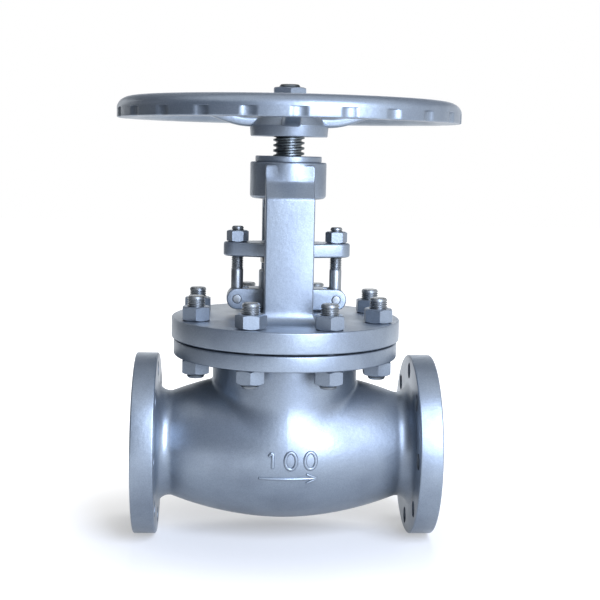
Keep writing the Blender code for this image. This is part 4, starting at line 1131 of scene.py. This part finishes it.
def oiled_steel():
    """Turned alloy steel under a film of oil: dark, with a soft streak of light along the crests."""
    return metal("oiled_turned_steel", bpy.context.scene.valve_finish.stem_steel, 0.34, 0.8, 0.15)


def zinc_plating():
    """Zinc-plated steel: pale and satin, with a slightly cloudy sheen."""
    return metal("zinc_plated_steel", bpy.context.scene.valve_finish.zinc, 0.38, 1.2, 0.05)


def turned_stainless():
    """Turned stainless steel: bright, with fine tool rings."""
    return metal("turned_stainless_steel", bpy.context.scene.valve_finish.stainless, 0.28, 0.6, 0.2)


def pressed_graphite():
    """Pressed graphite: nearly black, matt, with a faint grey graininess."""
    name = "pressed_graphite"
    if name in bpy.data.materials:
        return bpy.data.materials[name]
    base = bpy.context.scene.valve_finish.graphite
    material, tree, shader = new_material(name, base, 0.6, 0.0)
    place = add_node(tree, "ShaderNodeTexCoord").outputs["Object"]
    grain = add_node(tree, "ShaderNodeTexNoise", {"Vector": place, "Scale": per_metre(0.9), "Detail": 4.0})
    tone = add_node(tree, "ShaderNodeMix", {"Factor": grain.outputs["Fac"], 6: base, 7: linear("#45474a")},
                    data_type="RGBA")
    bump = add_node(tree, "ShaderNodeBump", {
        "Height": grain.outputs["Fac"], "Strength": 0.2, "Distance": 0.2 * MM})
    tree.links.new(tone.outputs[2], shader.inputs["Base Color"])
    tree.links.new(bump.outputs[0], shader.inputs["Normal"])
    return material


# Stage


def seen_directly(tree):
    """1 for camera, glossy and transmission rays, 0 for the light that the surroundings throw."""
    path = add_node(tree, "ShaderNodeLightPath").outputs
    both = add_node(tree, "ShaderNodeMath", {0: path["Is Camera Ray"], 1: path["Is Glossy Ray"]},
                    operation="MAXIMUM")
    return add_node(tree, "ShaderNodeMath", {0: both.outputs[0], 1: path["Is Transmission Ray"]},
                    operation="MAXIMUM").outputs[0]


def make_world():
    """White where it is seen, and a weak even fill where it lights the object."""
    world = bpy.data.worlds.new("studio")
    bpy.context.scene.world = world
    world.use_nodes = True
    tree = world.node_tree
    fill = tree.nodes["Background"]
    fill.inputs["Color"].default_value = linear("#dfe6f2")
    fill.inputs["Strength"].default_value = 0.16
    white = add_node(tree, "ShaderNodeBackground", {"Color": (1, 1, 1, 1), "Strength": 1.0})
    mix = add_node(tree, "ShaderNodeMixShader", {
        0: seen_directly(tree), 1: fill.outputs[0], 2: white.outputs[0]})
    tree.links.new(mix.outputs[0], tree.nodes["World Output"].inputs["Surface"])


def make_floor():
    """A plain floor, white where it is seen. It keeps the lamp's shadow, and has a painted shadow under the
    object, where a white room's light couldn't reach: the glow rises with the distance hypot(x, 1.4 y) from
    the middle."""
    half, below = 6.0, 0.2 * MM
    side = np.linspace(-half, half, 3)
    x, y = np.meshgrid(side, side, indexing="ij")
    mesh = mesh_of("floor", [grid(np.stack([x, y, np.full_like(x, FLOOR_Z - below)], axis=-1))])
    material = bpy.data.materials.new("pale_floor")
    material.use_nodes = True
    tree = material.node_tree
    tree.nodes.remove(tree.nodes["Principled BSDF"])
    dim = add_node(tree, "ShaderNodeBsdfDiffuse", {"Color": linear("#808080")})
    pale = add_node(tree, "ShaderNodeBsdfDiffuse", {"Color": linear("#bcbcbc")})
    place = add_node(tree, "ShaderNodeTexCoord").outputs["Object"]
    oval = add_node(tree, "ShaderNodeMapping", {"Vector": place, "Scale": (1.0, 1.4, 0.0)})
    away = add_node(tree, "ShaderNodeVectorMath", {0: oval.outputs[0]}, operation="LENGTH")
    # Painted shadow: the glow is held low under the object and rises towards white farther out, and the paint
    # mirrors this painted shade on its underside
    rise = add_node(tree, "ShaderNodeMapRange", {
        "Value": away.outputs["Value"], "From Min": 0.10, "From Max": 0.50, "To Min": 0.35, "To Max": 0.97,
    }, interpolation_type="SMOOTHSTEP")
    glow = add_node(tree, "ShaderNodeEmission", {"Color": (1, 1, 1, 1), "Strength": rise.outputs[0]})
    shown = add_node(tree, "ShaderNodeAddShader", {0: pale.outputs[0], 1: glow.outputs[0]})
    mix = add_node(tree, "ShaderNodeMixShader", {
        0: seen_directly(tree), 1: dim.outputs[0], 2: shown.outputs[0]})
    tree.links.new(mix.outputs[0], tree.nodes["Material Output"].inputs["Surface"])
    mesh.materials.append(material)
    placed("floor", mesh)


def area_light(name, place, target, size, power, tint="#ffffff"):
    light = bpy.data.lights.new(name, "AREA")
    light.shape = "RECTANGLE"
    light.size, light.size_y = size
    light.energy = power
    light.color = linear(tint)[:3]
    lamp = placed(name, light)
    lamp.location = place
    lamp.rotation_euler = (Vector(target) - Vector(place)).to_track_quat("-Z", "Y").to_euler()


def black_card(name, place, target, size):
    """A dark card that is neither seen nor casts a shadow. The paint mirrors it, which keeps the sides of
    the castings as dark as a room with one window does."""
    turn = (Vector(target) - Vector(place)).to_track_quat("Z", "Y").to_matrix().to_4x4()
    u, v = np.meshgrid((-size[0] / 2, size[0] / 2), (-size[1] / 2, size[1] / 2), indexing="ij")
    flat = grid(np.stack([u, v, np.zeros_like(u)], axis=-1))
    mesh = mesh_of(name, [moved(flat, Matrix.Translation(place) @ turn)])
    felt = bpy.data.materials.get("black_felt")
    mesh.materials.append(felt or new_material("black_felt", linear("#474747"), 0.9, 0.0)[0])
    card = placed(name, mesh)
    card.visible_camera = False
    card.visible_shadow = False


def make_camera():
    """The photograph's viewing angle: a little left of the valve's front, level with the gland, looking
    down."""
    distance, height = 1.403, 0.3437
    left_by, aim_right, pitch, roll = (math.radians(d) for d in (2.96, 0.67, 7.06, 1.18))
    heading = left_by + aim_right
    camera = bpy.data.cameras.new("camera")
    camera.sensor_width = 36.0
    camera.lens = 72.9
    camera.clip_start = 0.05
    eye = placed("camera", camera)
    eye.location = (-distance * math.sin(left_by), -distance * math.cos(left_by), height)
    forward = math.cos(pitch)
    ahead = Vector((math.sin(heading) * forward, math.cos(heading) * forward, -math.sin(pitch)))
    level = ahead.to_track_quat("-Z", "Y").to_matrix().to_4x4()
    eye.rotation_euler = (level @ Matrix.Rotation(roll, 4, "Z")).to_euler()
    bpy.context.scene.camera = eye


class VALVE_OT_stage(bpy.types.Operator):
    """Make the floor, the world, the lamps, the dark cards and the camera"""

    bl_idname = "valve.stage"
    bl_label = "Studio"

    def execute(self, context):
        context.scene.view_settings.view_transform = "Standard"
        make_world()
        make_floor()
        aim = (0, 0, 0.15)
        area_light("key", (0.66, -1.58, 0.92), aim, (0.9, 1.8), 80, "#dbe7ff")
        area_light("back", (0.25, 1.25, 1.65), aim, (1.2, 0.8), 26)
        area_light("left", (-1.5, 1.05, 0.9), aim, (1.2, 1.2), 9)
        black_card("card_left", (-1.15, 0.1, 0.55), (0, 0.1, 0.55), (2.2, 2.0))
        black_card("card_front_left", (-0.85, -1.25, 0.55), (0, 0, 0.25), (0.9, 2.0))
        black_card("card_top", (0, 1.15, 1.15), (0, 1.15, 0), (2.4, 2.0))
        make_camera()
        return {"FINISHED"}


class VALVE_PT_panel(bpy.types.Panel):
    """Sizes, finishes and pieces of the valve"""

    bl_idname = "VALVE_PT_panel"
    bl_label = "Globe valve"
    bl_space_type = "VIEW_3D"
    bl_region_type = "UI"
    bl_category = "Valve"

    def draw(self, context):
        layout = self.layout
        for operator in OPERATORS:
            layout.operator(operator.bl_idname)
        for group in (context.scene.valve_sizes, context.scene.valve_finish):
            for name in group.__annotations__:
                layout.prop(group, name)


OPERATORS = (VALVE_OT_body, VALVE_OT_marks, VALVE_OT_bonnet, VALVE_OT_studs, VALVE_OT_gland, VALVE_OT_stem,
             VALVE_OT_trim, VALVE_OT_handwheel, VALVE_OT_stage)
CLASSES = (ValveSizes, ValveFinish, *OPERATORS, VALVE_PT_panel)


def register():
    for each in CLASSES:
        bpy.utils.register_class(each)
    bpy.types.Scene.valve_sizes = bpy.props.PointerProperty(type=ValveSizes)
    bpy.types.Scene.valve_finish = bpy.props.PointerProperty(type=ValveFinish)


def unregister():
    del bpy.types.Scene.valve_finish
    del bpy.types.Scene.valve_sizes
    for each in reversed(CLASSES):
        bpy.utils.unregister_class(each)


def main():
    register()
    bpy.ops.valve.body()
    bpy.ops.valve.marks()
    bpy.ops.valve.bonnet()
    bpy.ops.valve.studs()
    bpy.ops.valve.gland()
    bpy.ops.valve.stem()
    bpy.ops.valve.trim()
    bpy.ops.valve.handwheel()
    bpy.ops.valve.stage()


if __name__ == "__main__":
    main()
